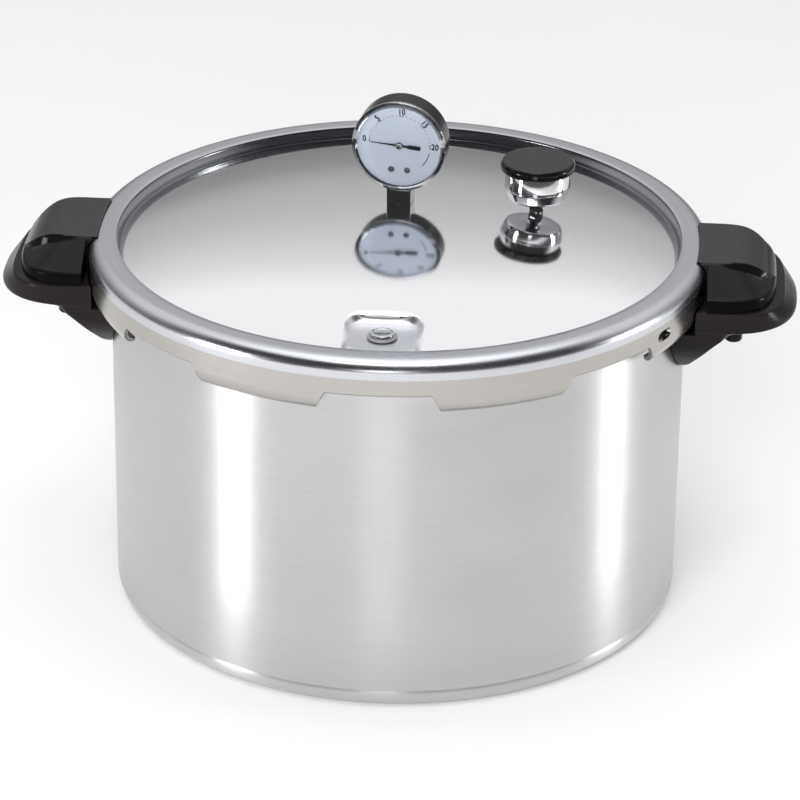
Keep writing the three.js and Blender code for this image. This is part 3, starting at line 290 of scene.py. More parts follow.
# painted shade: a darker, duller copy of the phenolic for the cover handles' low upright sides
PHENOLIC_PAINTED_SHADE = phenolic("phenolic_painted_shade", 0.3, (0.003, 0.003, 0.003), (0.02, 0.016, 0.014), level=0.03)
PHENOLIC_BODY = phenolic("phenolic_body", 0.22, (0.014, 0.0115, 0.011), level=0.1)
CAP_BLACK = phenolic("cap_black", 0.3, (0.012, 0.011, 0.012), level=0.4)
CAP_EDGE = phenolic("cap_edge", 0.1, (0.005, 0.005, 0.006), level=0.35)
PAD_METAL = brushed("pad_metal", (0.74, 0.745, 0.77), 0.3, 0.03, 0.0, 0.015, 600.0, tint=0.01)
SEAL_GREY = rubber("grey_seal", (0.22, 0.22, 0.235))
CASE_BLACK = phenolic("case_black", 0.24, (0.006, 0.006, 0.007), grain=0.02, level=0.3)
RUBBER = rubber("black_rubber", (0.02, 0.02, 0.021))
LENS_RIM = clear_plastic("lens_rim", (0.72, 0.75, 0.8), 0.42)
DIAL_WHITE = dial_paint("dial_white", (0.86, 0.9, 0.96))
PRINT_BLACK = dial_paint("dial_print", (0.008, 0.009, 0.014))
POINTER_BLACK = dial_paint("pointer_black", (0.01, 0.01, 0.012))
CLEAR = clear_plastic("clear_lens", (0.97, 0.98, 1.0), 0.0)


# ------------ mesh helpers
WELD = 2e-6           # metres within which points become one
SLIVER = 1e-7


def link(name, data):
    made = bpy.data.objects.new(name, data)
    bpy.context.scene.collection.objects.link(made)
    return made


def raw_mesh(name, points, faces):
    """A mesh in metres from points in millimetres."""
    mesh = bpy.data.meshes.new(name)
    mesh.from_pydata([tuple(c * MM for c in p) for p in points], [], [tuple(f) for f in faces])
    return mesh


def build(name, points, faces, mats, body, slot, replaces=(), sharp=35.0, face_mats=None):
    """A piece from points in millimetres. sharp is in degrees; face_mats is one index a face."""
    mesh = raw_mesh(name, points, faces)
    mesh.validate()
    for m in mats:
        mesh.materials.append(m)
    if face_mats is not None and len(face_mats) == len(mesh.polygons):
        mesh.polygons.foreach_set("material_index", face_mats)
    tidy(mesh, sharp)
    piece = link(name, mesh)
    settle(piece, body, replaces)
    return piece


def tidy(mesh, sharp):
    work = bmesh.new()
    work.from_mesh(mesh)
    bmesh.ops.remove_doubles(work, verts=work.verts, dist=WELD)
    bmesh.ops.dissolve_degenerate(work, edges=work.edges, dist=SLIVER)
    bmesh.ops.recalc_face_normals(work, faces=work.faces)
    work.to_mesh(mesh)
    work.free()
    mesh.shade_smooth()
    mesh.set_sharp_from_angle(angle=math.radians(sharp))


def settle(piece, body, replaces=()):
    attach(piece, body)
    if replaces:
        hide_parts(*replaces)


def quads(rows, cols, start=0, wrap_rows=False, wrap_cols=False):
    """Faces between the rows of a grid of points, listed row by row from start."""
    faces = []
    for i in range(rows if wrap_rows else rows - 1):
        a, b = start + i * cols, start + (i + 1) % rows * cols
        for j in range(cols if wrap_cols else cols - 1):
            n = (j + 1) % cols
            faces.append((a + j, a + n, b + n, b + j))
    return faces


def lathe_data(profile, segments):
    """Points and faces turned about Z. The profile is a ring, or starts and ends on the axis."""
    closed = profile[0] == profile[-1]
    rows = profile[:-1] if closed else profile
    points = []
    for r, z in rows:
        for k in range(segments):
            a = TAU * k / segments
            points.append((r * math.cos(a), r * math.sin(a), z))
    return points, quads(len(rows), segments, wrap_rows=closed, wrap_cols=True)


def moved(points, matrix):
    return [tuple(matrix @ Vector(p)) for p in points]


def placed(solid, matrix):
    """Raw (points, faces) moved by the matrix."""
    return moved(solid[0], matrix), solid[1]


def middle(points, face):
    return [sum(points[i][k] for i in face) / len(face) for k in range(3)]


def lathe(name, profile, mats, body, slot, replaces=(), segments=128, matrix=None, sharp=35.0, pick=None):
    """A turned piece. pick gives a face's material index from its middle, before the matrix."""
    points, faces = lathe_data(profile, segments)
    face_mats = [pick(*middle(points, f)) for f in faces] if pick else None
    if matrix is not None:
        points = moved(points, matrix)
    return build(name, points, faces, mats, body, slot, replaces, sharp, face_mats)


def filleted(profile, radii, steps=5):
    """Rounds the corners of an open profile. radii is one number or one per point."""
    if not isinstance(radii, (list, tuple)):
        radii = [radii] * len(profile)
    out = [profile[0]]
    for i in range(1, len(profile) - 1):
        a, b, c = (Vector(profile[i + k]) for k in (-1, 0, 1))
        u, v = (a - b), (c - b)
        r = radii[i]
        if r <= 0 or u.length < 1e-6 or v.length < 1e-6:
            out.append(tuple(b))
            continue
        angle = u.angle(v)
        reach = min(r / math.tan(angle / 2) if angle > 1e-3 else 0, u.length * 0.49, v.length * 0.49)
        p, q = b + u.normalized() * reach, b + v.normalized() * reach
        for k in range(steps + 1):
            t = k / steps
            point = p * (1 - t) ** 2 + b * 2 * t * (1 - t) + q * t ** 2
            out.append((point.x, point.y))
    out.append(profile[-1])
    return out


def arc(cr, cz, radius, start, end, steps):
    return [
        (cr + radius * math.cos(math.radians(start + (end - start) * i / steps)),
         cz + radius * math.sin(math.radians(start + (end - start) * i / steps)))
        for i in range(steps + 1)
    ]


def boolean(piece, cutters, operation="DIFFERENCE", sharp=35.0):
    """Cuts piece by raw (points, faces) bodies and keeps the result in its own mesh."""
    made = []
    for points, faces in cutters:
        mesh = raw_mesh("cutter", points, faces)
        tidy(mesh, sharp)
        modifier = piece.modifiers.new("cut", "BOOLEAN")
        modifier.operation = operation
        modifier.solver = "EXACT"
        modifier.object = link("cutter", mesh)
        made.append(modifier.object)
    graph = bpy.context.evaluated_depsgraph_get()
    result = bpy.data.meshes.new_from_object(piece.evaluated_get(graph), depsgraph=graph)
    piece.modifiers.clear()
    old = piece.data
    piece.data = result
    result.name = piece.name
    bpy.data.meshes.remove(old)
    for cutter in made:
        mesh = cutter.data
        bpy.data.objects.remove(cutter)
        bpy.data.meshes.remove(mesh)
    tidy(result, sharp)


def prism(outline, low, high):
    """Raw upright prism."""
    n = len(outline)
    points = [(x, y, z) for z in (low, high) for x, y in outline]
    faces = [tuple(range(n))[::-1], tuple(range(n, 2 * n))]
    faces += [(i, (i + 1) % n, n + (i + 1) % n, n + i) for i in range(n)]
    return points, faces


def round_outline(x, y, radius, steps=48):
    turns = [TAU * i / steps for i in range(steps)]
    return [(x + radius * math.cos(a), y + radius * math.sin(a)) for a in turns]


def box_outline(x0, x1, y0, y1):
    return [(x0, y0), (x1, y0), (x1, y1), (x0, y1)]


def turned(outline, side):
    """The outline as it is for side 1, and half a turn round for side -1."""
    return [(side * x, side * y) for x, y in outline]


def smooth(t):
    t = np.clip(t, 0.0, 1.0)
    return t * t * (3 - 2 * t)


def soft_min(a, b, k):
    h = np.clip(0.5 + 0.5 * (b - a) / k, 0, 1)
    return b * (1 - h) + a * h - k * h * (1 - h)


def soft_max(a, b, k):
    return -soft_min(-a, -b, k)


# ------------ pot
def make_pot():
    bead = POT_R + 1.3
    inner = POT_R - 2.4
    groove = POT_R - 0.28
    outside = [
        (0, 0.0), (120, 0.0), (POT_R - 12, 0.0),
        *arc(POT_R - 9, 9, 9, -90, 0, 14)[1:],
        (POT_R, 10.2), (groove, 10.7), (groove, 11.3), (POT_R, 11.8),
        (POT_R, 60), (POT_R, 120), (POT_R, 180), (POT_R, 193.0),
        (bead - 0.3, 194.3), (bead, 195.2), (bead, 198.8), (bead - 0.4, 199.7), (bead - 1.2, POT_TOP),
        (inner + 0.8, POT_TOP), (inner + 0.2, 199.8), (inner, 199.2),
        (inner, 120), (inner, 40),
        *arc(inner - 6.6, 10.6, 6.6, 0, -90, 8),
        (100, 4), (0, 4),
    ]
    points, faces = lathe_data(outside, 256)
    reach = POT_R + 8.4
    under = POT_TOP - 16.5
    section = filleted([
        (inner + 1.2, POT_TOP - 0.02), (reach, POT_TOP - 0.02), (reach, under + 3.5),
        (POT_R + 4.2, under), (inner + 1.2, under), (inner + 1.2, POT_TOP - 0.02),
    ], [0, 1.6, 1.6, 1.6, 0, 0], 4)[:-1]
    n, steps, half = len(section), 18, 8
    for lug in range(LUGS):
        start = len(points)
        for k in range(steps + 1):
            turn = math.radians(LUG_PHASE + LUG_PITCH * lug - half + 2 * half * k / steps)
            # the lug's ends are rounded over their last two steps
            pull = {0: 2.0, 1: 0.5}.get(min(k, steps - k), 0.0)
            for r, z in section:
                r = min(r, reach - pull) if r > POT_R else r
                points.append((r * math.sin(turn), -r * math.cos(turn), max(z, under + pull * 0.7)))
        faces += quads(steps + 1, n, start, wrap_cols=True)
        faces.append(tuple(start + j for j in range(n)))
        faces.append(tuple(start + steps * n + j for j in range(n)))
    face_mats = []
    for face in faces:
        x, y, z = middle(points, face)
        face_mats.append(1 if math.hypot(x, y) < inner + 0.3 and z > 3 else 0)
    build("pot", points, faces, [WALL, INSIDE_METAL],
          "canner", "satin_aluminium", ["canner_body"], 40, face_mats)


# ------------ cover
def lug_share(degrees):
    """How much of a lug stands at this angle: 0 between lugs, 1 at a lug."""
    offset = abs((degrees - LUG_PHASE + LUG_PITCH / 2) % LUG_PITCH - LUG_PITCH / 2)
    return float(smooth((LUG_HALF - offset) / LUG_FLANK))


def pad_distance(x, y):
    """Distance from the outline of the rounded square round the lock, negative inside."""
    qx, qy = abs(x - LOCK_AT[0]) - (PAD_HALF - PAD_CORNER), abs(y - LOCK_AT[1]) - (PAD_HALF - PAD_CORNER)
    return math.hypot(max(qx, 0), max(qy, 0)) + min(max(qx, qy), 0) - PAD_CORNER


def cover_angles():
    """Degrees of the cover's columns, closer together where its shape changes quickly."""
    even, flank, pad, least = 1.25, 0.32, 0.24, 0.14
    flank_middle = LUG_HALF - LUG_FLANK / 2
    spots = set(round(k * even, 4) for k in range(int(360 / even)))
    for k in range(LUGS):
        for side in (-1, 1):
            middle_at = LUG_PHASE + LUG_PITCH * k + side * flank_middle
            spots.update(round((middle_at + i * flank) % 360, 4) for i in range(-7, 8))
    pad_at = math.degrees(math.atan2(LOCK_AT[0], -LOCK_AT[1]))
    spots.update(round((pad_at + i * pad) % 360, 4) for i in range(-46, 47))
    kept = []
    for s in sorted(spots):
        if not kept or s - kept[-1] > least:
            kept.append(s)
    return kept


def make_cover():
    crown = COVER_R - SHOULDER
    curl = 9.0            # radius of a lug's curled edge
    z_curl = RING_TOP - 31 + curl
    skirt, lug_top = RING_TOP - 14.4, RING_TOP - 18.5
    plain = 4.1           # the skirt's depth between those two, which every column has
    steps_down = 15
    radii = list(np.linspace(1.5, 100, 26)) + list(np.linspace(102, 152.6, 40))
    edge = dome_top(RING_IN)
    fixed_out = [
        (152.9, dome_top(152.9)), (153.5, edge + 0.25), (153.85, edge + 0.8), (153.95, edge + 2.5),
        (RING_IN, RING_TOP - 1.6), (154.15, RING_TOP - 0.8), (154.6, RING_TOP - 0.2), (155.4, RING_TOP),
        (158, RING_TOP), (160.5, RING_TOP), *arc(crown, RING_TOP - SHOULDER, SHOULDER, 90, 0, 12),
        (COVER_R, RING_TOP - 10), (COVER_R, RING_TOP - 14),
    ]
    lug_out = [(COVER_R, lug_top), (COVER_R, RING_TOP - 20.2)] + arc(COVER_R - curl, z_curl, curl, 0, -88, 12)
    inner = [
        (COVER_R - SHEET, RING_TOP - 10), *arc(crown, RING_TOP - SHOULDER, SHOULDER - SHEET, 0, 90, 8),
        (160.5, RING_TOP - SHEET), (157.2, RING_TOP - SHEET), (156.5, RING_TOP - SHEET - 0.6),
        (156.3, edge + 0.5), (156.2, edge - SHEET + 1), (155.4, edge - SHEET + 0.1), (154.0, edge - SHEET),
    ]
    lengths = [0.0]
    for p, q in zip(lug_out, lug_out[1:]):
        lengths.append(lengths[-1] + math.dist(p, q))

    def along_lug(share):
        want = share * lengths[-1]
        for i in range(1, len(lengths)):
            if want <= lengths[i] + 1e-9:
                t = (want - lengths[i - 1]) / (lengths[i] - lengths[i - 1])
                return tuple(lug_out[i - 1][k] * (1 - t) + lug_out[i][k] * t for k in (0, 1))
        return lug_out[-1]

    def inward(r, z):
        """The matching point on the inside of the lug's sheet."""
        if z > z_curl:
            return r - SHEET, z
        a = math.atan2(z - z_curl, r - (COVER_R - curl))
        return COVER_R - curl + (curl - SHEET) * math.cos(a), z_curl + (curl - SHEET) * math.sin(a)

    def dome_and_pad(degrees, sx, sy):
        for r in radii:
            z = dome_top(r)
            if degrees < 16 or degrees > 344:
                inside = 1 - float(smooth((pad_distance(r * sx, r * sy) + 1.6) / 4.6))
                z = z * (1 - inside) + PAD_TOP * inside
            yield r, z

    def end_bulge(share, outer, inner):
        """The rounded end of the sheet, from its outside to its inside."""
        nx, nz = inner[0] - outer[0], inner[1] - outer[1]
        size = math.hypot(nx, nz)
        tx, tz = nz / size, -nx / size
        # it points down between the lugs, and towards the axis at a lug
        if tz > 0 if share < 0.5 else tx > 0:
            tx, tz = -tx, -tz
        mid = ((outer[0] + inner[0]) / 2, (outer[1] + inner[1]) / 2)
        for a in (150, 120, 90, 60, 30):
            c, s = math.cos(math.radians(a)), math.sin(math.radians(a))
            yield mid[0] + nx / 2 * c + tx * 0.8 * s, mid[1] + nz / 2 * c + tz * 0.8 * s

    columns = []
    for degrees in cover_angles():
        turn = math.radians(degrees)
        sx, sy = math.sin(turn), -math.cos(turn)
        top = list(dome_and_pad(degrees, sx, sy))
        under = [(r, z - SHEET) for r, z in top]
        share = lug_share(degrees)
        total = lengths[-1] * share + plain
        edge_out = []
        for i in range(steps_down + 1):
            want = total * i / steps_down
            on_plain = want <= plain
            edge_out.append((COVER_R, skirt - want) if on_plain else along_lug((want - plain) / lengths[-1]))
        edge_in = [inward(*p) for p in edge_out]
        rim = list(end_bulge(share, edge_out[-1], edge_in[-1]))
        profile = top + fixed_out + edge_out + rim + edge_in[::-1] + inner + under[::-1]
        columns.append([(r * sx, r * sy, z) for r, z in profile])
    rows = len(columns[0])
    points = [p for c in columns for p in c]
    mats = [DOME_METAL, RING_METAL, SKIRT_METAL, INSIDE_METAL, PAD_METAL, EDGE_PAINTED_SHADE_METAL, RISER_PAINTED_SHADE_METAL]
    dome, ring, outside, inside, pad, edge_shade, riser_shade = range(len(mats))
    n_ring = len(radii) + len(fixed_out)
    n_outer = n_ring + steps_down + 1 + 5
    # each material's last row of faces, from the dome's middle outwards and back underneath
    # the riser's rows take a darker metal, painted shade on the step
    bands = [(len(radii) - 1, dome), (len(radii) + 6, riser_shade), (n_ring - 2, ring), (n_outer - 6, outside),
             # the rows round the skirt's lower edge take a darker metal, painted shade
             (n_outer, edge_shade), (rows, inside)]
    row_mats = [next(m for end, m in bands if i < end) for i in range(rows - 1)]
    faces, face_mats = [], []
    centre_top, centre_under = len(points), len(points) + 1
    points += [(0, 0, dome_top(0)), (0, 0, dome_top(0) - SHEET)]
    for k in range(len(columns)):
        m = (k + 1) % len(columns)
        for i in range(rows - 1):
            faces.append((k * rows + i, m * rows + i, m * rows + i + 1, k * rows + i + 1))
            on_pad = i < len(radii) and pad_distance(*columns[k][i][:2]) < 2.2
            face_mats.append(pad if on_pad else row_mats[i])
    for k in range(len(columns)):
        m = (k + 1) % len(columns)
        faces.append((centre_top, m * rows, k * rows))
        faces.append((centre_under, k * rows + rows - 1, m * rows + rows - 1))
        face_mats += [dome, inside]
    piece = build("cover_shell", points, faces, mats, "lid", "polished_aluminium", ["cover"], 38, face_mats)
    holes = ((GAUGE_AT, 4.4, 205, 230), (VENT_AT, 3.4, 205, 230), (PLUG_AT, 5.0, 205, 230),
             (LOCK_AT, 4.6, 195, 215))
    cuts = [prism(round_outline(*at, radius), low, high) for at, radius, low, high in holes]
    flat, end = 3.25, 3   # half the window's straight part, and the radius of its ends
    ends = np.linspace(-math.pi / 2, math.pi / 2, 17)
    oblong = [(flat + end * math.cos(a), end * math.sin(a)) for a in ends]
    oblong += [(-flat - end * math.cos(a), end * math.sin(a)) for a in ends[::-1]]
    window_at = spin(WINDOW_ANGLE) @ shift(0, 0, RING_TOP - 16.5) @ spin(90, "X")
    cuts.append(placed(prism(oblong, 161, 176), window_at))
    boolean(piece, cuts, sharp=38)
    for side, word in ((1, "right"), (-1, "left")):
        corners = [(168.1, -TAB_HALF), (192, -TAB_HALF), (192, TAB_HALF), (168.1, TAB_HALF)]
        outline = turned(filleted_loop(corners, [0.1, 4, 4, 0.1]), side)
        tab = prism(outline, TAB_TOP - TAB_THICKNESS, TAB_TOP)
        piece = build(f"handle_tab_{word}", *tab, [INSIDE_METAL], "lid", "polished_aluminium")
        screws = [round_outline(side * 183, y, 2.4, 24) for y in (-7, 7)]
        boolean(piece, [prism(screw, TAB_TOP - 5, TAB_TOP + 3) for screw in screws])


def filleted_loop(loop, radii, steps=5):
    """Rounds the corners of a closed outline."""
    n = len(loop)
    out = []
    for i in range(n):
        a, b, c = loop[i - 1], loop[i], loop[(i + 1) % n]
        out += filleted([a, b, c], [0, radii[i], 0], steps)[1:-1]
    return out


# ------------ handles
def d_curve(inner, straight, tip, half, power, count):
    """Half outline from the inner corner to the tip at +X, as (x, half width) stations."""
    out = []
    for i in range(count + 1):
        a = math.pi / 2 * (1 - math.cos(math.pi * i / count)) / 2
        reach = (tip - straight) * math.sin(a) ** (2 / power)
        out.append((straight + reach, half * math.cos(a) ** (2 / power)))
    return [(x, half) for x in np.linspace(inner, straight, 9)[:-1]] + out


def cover_envelope():
    """What a cover handle has to clear: the cover's shoulder and ring, grown by the clearance."""
    foot = RING_TOP - 45
    profile = [(0, foot), (COVER_R + HANDLE_CLEARANCE, foot)]
    profile += arc(COVER_R - SHOULDER, RING_TOP - SHOULDER, SHOULDER + HANDLE_CLEARANCE, 0, 90, 14)
    return lathe_data(profile + [(0, RING_TOP + HANDLE_CLEARANCE)], 256)


def make_cover_handle(word, side):
    low = RING_TOP - 19.2
    high = RING_TOP + 1.9
    tip, half = 206.5, 48.0
    straight, power = 173.0, HANDLE_POWER
    stations = d_curve(160.0, straight, tip, half, power, 64)
    across = np.sin(np.linspace(-1, 1, 141) * math.pi / 2 * 0.86) / math.sin(math.pi / 2 * 0.86)
    xs = np.array([s[0] for s in stations])[:, None] * np.ones((1, len(across)))
    ys = np.array([s[1] for s in stations])[:, None] * across[None, :]
    # inside is the distance from the outline, depth how far in a point lies along its own ray
    fx = np.clip((xs - straight) / (tip - straight), 0, None)
    fy = np.abs(ys) / half
    value = 1 - fx ** power - fy ** power
    slope = np.hypot(power * fx ** (power - 1) / (tip - straight), power * fy ** (power - 1) / half)
    inside = np.clip(value / np.maximum(slope, 1e-4), 0, 60)
    share = (fx ** power + fy ** power) ** (1 / power)
    length = (half * fy + (tip - straight) * fx) / np.maximum(fx + fy, 1e-6)
    depth = np.clip((1 - share) * length, 0, 60)
    # the ridge down the middle narrows towards the tip and has steep flanks
    along = high - 14.9 * np.clip((xs - 178.5) / 28.0, 0, None) ** 2.4
    narrow = np.clip((xs - 174.0) / 33.0, 0, 1)
    width = 27.0 * (1 - narrow ** 2.4) ** (1 / 2.4)
    reach = np.clip((np.abs(ys) - width) / 8.0 + 1, 0, 1.9)
    flank = high - 0.4 * (ys / 27) ** 2 - 1.2 * reach ** 8
    ridge = soft_min(along, flank, 1.2)
    wing = RING_TOP - 13.0 + 0.61 * np.minimum(depth, 19.5)
    top = soft_max(ridge, wing, 0.5)
    edge_round = 1.5
    close = np.clip(edge_round - inside, 0, edge_round)
    top = top - (edge_round - np.sqrt(np.clip(edge_round ** 2 - close ** 2, 0, None)))
    top = np.maximum(top, low + 4.0)
    rows, cols = xs.shape
    points = [(side * x, side * y, z) for x, y, z in zip(xs.ravel(), ys.ravel(), top.ravel())]
    points += [(x, y, low) for x, y, z in points]
    faces = []
    under = rows * cols   # index of the first point underneath
    for i in range(rows - 1):
        for j in range(cols - 1):
            a, b = i * cols + j, (i + 1) * cols + j
            faces.append((a, b, b + 1, a + 1))
            faces.append((under + a, under + a + 1, under + b + 1, under + b))
    for i in range(rows - 1):
        a, b = i * cols, (i + 1) * cols
        faces.append((a, under + a, under + b, b))
        a, b = a + cols - 1, b + cols - 1
        faces.append((a, b, under + b, under + a))
    for j in range(cols - 1):
        faces.append((j, j + 1, under + j + 1, under + j))
    piece = build(f"cover_handle_shell_{word}", points, faces, [PHENOLIC, PHENOLIC_SATIN, PHENOLIC_PAINTED_SHADE],
                  "lid", "phenolic", [f"cover_handle_{word}"], 40)
    room = box_outline(150, 192.5, -TAB_HALF - 0.5, TAB_HALF + 0.5)
    pocket = prism(filleted_loop(turned(room, side), [3] * 4), low - 3, TAB_TOP + 0.35)
    # the wings end square, the ridge in a shallow arc over the ring
    keep = [(163.0 + 0.9 * (1 - (y / 27.5) ** 2), y) for y in np.linspace(-27.5, 27.5, 23)]
    notch = [(150, -60), (169, -60), (169, -27.8), (163.4, -27.8), *keep,
             (163.4, 27.8), (169, 27.8), (169, 60), (150, 60)]
    boolean(piece, [prism(turned(notch, side), low - 8, RING_TOP + 12), cover_envelope(), pocket], sharp=40)
    gloss, satin, dark = range(3)
    for polygon in piece.data.polygons:
        x, y, z = (c / MM for c in polygon.center)
        on_ridge = abs(y) < 27 and z > RING_TOP - 9 and polygon.normal.z > 0.72
        # low upright faces take the darker phenolic: painted shade in the gap above the body handle
        shaded_upright = abs(polygon.normal.z) < 0.35 and z < RING_TOP - 11
        polygon.material_index = satin if on_ridge else dark if shaded_upright else gloss


def ring_curve(inner, straight, tip, half, power, count=44):
    """Whole outline, from the inner corner at -Y round the tip to the one at +Y."""
    curve = d_curve(inner, straight, tip, half, power, count)
    return [(x, -h) for x, h in curve] + curve[-2::-1]


def pchip(xs, ys, at):
    """Monotone interpolation through the key values."""
    xs, ys = np.asarray(xs, float), np.asarray(ys, float)
    step = np.diff(xs)
    rise = np.diff(ys) / step
    slope = np.zeros_like(ys)
    for i in range(1, len(xs) - 1):
        if rise[i - 1] * rise[i] > 0:
            w1, w2 = 2 * step[i] + step[i - 1], step[i] + 2 * step[i - 1]
            slope[i] = (w1 + w2) / (w1 / rise[i - 1] + w2 / rise[i])
    slope[0], slope[-1] = rise[0], rise[-1]
    i = np.clip(np.searchsorted(xs, at) - 1, 0, len(step) - 1)
    t = (at - xs[i]) / step[i]
    h = step[i]
    return (
        (2 * t ** 3 - 3 * t ** 2 + 1) * ys[i] + (t ** 3 - 2 * t ** 2 + t) * h * slope[i]
        + (-2 * t ** 3 + 3 * t ** 2) * ys[i + 1] + (t ** 3 - t ** 2) * h * slope[i + 1]
    )


# outermost x, depth under the ring's top and half width of the body handle's section rings
BODY_RINGS = [
    (210.6, 19.8, 49.3), (211.2, 20.2, 49.8), (212.0, 21.2, 49.9), (214.4, 24.0, 50.0), (217.0, 27.0, 50.0),
    (218.4, 29.0, 50.0), (218.3, 30.0, 49.9), (217.0, 30.7, 49.8), (213.0, 31.0, 49.6), (206.0, 31.3, 49.4),
    (197.0, 31.8, 49.2), (189.0, 33.0, 49.0), (182.0, 36.0, 48.8), (176.5, 41.0, 47.4), (171.5, 47.4, 43.4),
    (167.0, 54.0, 37.0), (163.8, 59.0, 31.0), (161.0, 61.8, 25.0), (158.0, 62.5, 19.5),
]


def make_body_handle(word, side):
    keys = np.arange(len(BODY_RINGS))
    at = np.linspace(0, len(BODY_RINGS) - 1, 73)
    tips, depths, halves = (pchip(keys, [k[i] for k in BODY_RINGS], at) for i in range(3))
    points = []
    for tip, depth, half in zip(tips, depths, halves):
        straight = min(176.0, tip - 5.0)
        power = HANDLE_POWER - 0.6 * min(1.0, max(0.0, (depth - 21.0) / 8.0))
        outline = turned(ring_curve(143.0, straight, tip, half, power), side)
        points += [(x, y, RING_TOP - depth) for x, y in outline]
    n = len(points) // len(at)
    faces = quads(len(at), n, wrap_cols=True)
    faces.append(tuple(range(n)))
    faces.append(tuple(range((len(at) - 1) * n, len(at) * n))[::-1])
    piece = build(f"body_handle_shell_{word}", points, faces, [PHENOLIC_BODY], "canner", "phenolic",
                  [f"body_handle_{word}"], 40)
    top = RING_TOP - 19.8
    foot = RING_TOP - 62.5
    shelf = RING_TOP - 33
    bracket = RING_TOP - 44.05
    near = POT_R + 0.35
    wall = lathe_data([
        (0, foot - 8), (near, foot - 8), (near, shelf), (170.8, shelf), (170.8, top + 6), (0, top + 6)], 256)
    hollow = turned(ring_curve(176.0, 178.0, 212.9, 45.4, HANDLE_POWER, 24), side)
    cavity = prism(hollow, foot - 5, top - 4.6)
    post = prism(round_outline(side * BOLT_X, 0, 4.9, 32), bracket, top - 4)
    slot = prism(turned(box_outline(150, 194, -12.4, 12.4), side), bracket - 3.3, bracket)
    boolean(piece, [wall, cavity], sharp=40)
    boolean(piece, [post], "UNION", 40)
    boolean(piece, [slot], sharp=40)


def make_handles():
    low, high, bore_end = RING_TOP - 56.6, RING_TOP - 47.4, RING_TOP - 53.4
    nut = filleted([
        (0, low + 0.6), (2.6, low + 0.6), (3.0, low), (4.2, low), (4.9, low + 1.0), (4.9, high),
        (2.35, high), (2.35, bore_end), (0, bore_end)], 0.4, 3)
    for word, side in (("right", 1), ("left", -1)):
        make_cover_handle(word, side)
        make_body_handle(word, side)
        at = spin(0 if side > 0 else 180) @ shift(BOLT_X, 0)
        lathe(f"handle_nut_{word}", nut, [PHENOLIC],
              "canner", "phenolic", [f"body_handle_nut_{word}"], 48, at)


# ------------ regulator, vent, lock, plug
def make_regulator():
    at = shift(*VENT_AT, VENT_Z)
    weight = filleted([
        (0, 18.65), (2.9, 18.65), (2.9, 9.5), (4.9, 8.2), (14.6, 8.0), (15.6, 8.2), (16.6, 9.6),
        (18.05, 14.2), (18.1, 14.75), (17.6, 15.1), (17.6, 15.55), (18.2, 15.9), (18.15, 16.4),
        (17.25, 24.05), (0, 24.05),
    ], [0, 0.1, 0.3, 0.3, 0.5, 0.6, 0.4, 0.25, 0.2, 0.1, 0.1, 0.2, 0.2, 0.3, 0], 4)
    lathe("weight", weight, [CHROME], "regulator", "chrome", ["regulator_weight"], 128, at, 30)
    cap = filleted([
        (0, 24.5), (19.4, 24.5), (20.4, 25.3), (20.4, 28.2), (19.2, 29.9), (17.0, 30.0), (0, 29.8),
    ], [0, 0.4, 0.9, 1.6, 1.2, 3.0, 0], 6)
    lathe("cap", cap, [CAP_EDGE, CAP_BLACK], "regulator", "phenolic", ["regulator_cap"], 128, at, 40,
          lambda x, y, z: 1 if z > 29.8 and math.hypot(x, y) < 18.2 else 0)
    corner = 8 / math.sqrt(3)
    turns = [math.radians(a) for a in range(30, 390, 60)]
    hexagon = filleted_loop([(corner * math.cos(a), corner * math.sin(a)) for a in turns], [0.5] * 6, 3)
    body = prism([(x + VENT_AT[0], y + VENT_AT[1]) for x, y in hexagon], VENT_Z + 0.8, VENT_Z + 6)
    piece = build("vent_hex", *body, [CHROME], "lid", "chrome", ["vent_pipe"])
    chamfer = lathe_data([(8, 5.2), (6.5, 7), (3.0, 7), (4.55, 5.3), (4.75, 5.0), (8, 3.0), (8, 5.2)], 48)
    boolean(piece, [placed(chamfer, at)])
    pipe = filleted([
        (1.1, -10.3), (3.0, -10.3), (3.0, 0.9), (3.4, 1.0), (3.4, 5.8), (2.9, 6.2), (2.4, 8), (2.4, 17.3),
        (1.8, 18.3), (1.1, 18.3), (1.1, -10.3)], 0.2, 3)
    lathe("vent_tube", pipe + [pipe[0]], [CHROME], "lid", "chrome", (), 48, at)


def make_lock():
    at = shift(*LOCK_AT)
    flange = PAD_TOP + 0.35
    under = PAD_TOP - SHEET - 0.35
    gasket = filleted([
        (2.5, under - 1.6), (6.05, under - 1.6), (6.05, under), (4.25, under), (4.25, flange), (8.0, flange),
        (7.7, flange + 1.2), (2.5, flange + 1.2), (2.5, under - 1.6)], 0.35, 4)
    lathe("lock_seal", gasket + [gasket[0]], [SEAL_GREY], "lid", "rubber", ["lock_gasket"], 72, at)
    head = PAD_TOP + 0.7 + 1.2
    collar = PAD_TOP - 11
    pin = filleted([
        (0, collar - 3.2), (3.5, collar - 3.2), (3.5, collar), (2, collar), (2, head), (6.0, head),
        (6.4, head + 0.55), (5.9, head + 1.15), (4.6, head + 1.25), (4.2, head + 0.95), (0, head + 1.0)],
        [0, 0.3, 0.3, 0.2, 0.1, 0.2, 0.3, 0.3, 0.2, 0.2, 0], 4)
    lathe("lock_button", pin, [CHROME], "cover_lock", "chrome", ["lock_pin"], 72, at)


def make_plug():
    foot = -SHEET - 3.4
    profile = filleted([
        (0, foot), (5.4, foot), (6, -SHEET - 1.4), (4.6, -SHEET - 1.1), (4.6, 0.9), (7.0, 0.95),
        (6.7, 2.9), (4.6, 4.2), (3.6, 3.4), (0, 3.2)], [0, 0.8, 0.5, 0.3, 0.3, 0.5, 0.8, 0.5, 0.5, 0], 4)
    lathe("plug", profile, [RUBBER], "lid", "rubber", ["overpressure_plug"], 72, shift(*PLUG_AT, PLUG_Z))


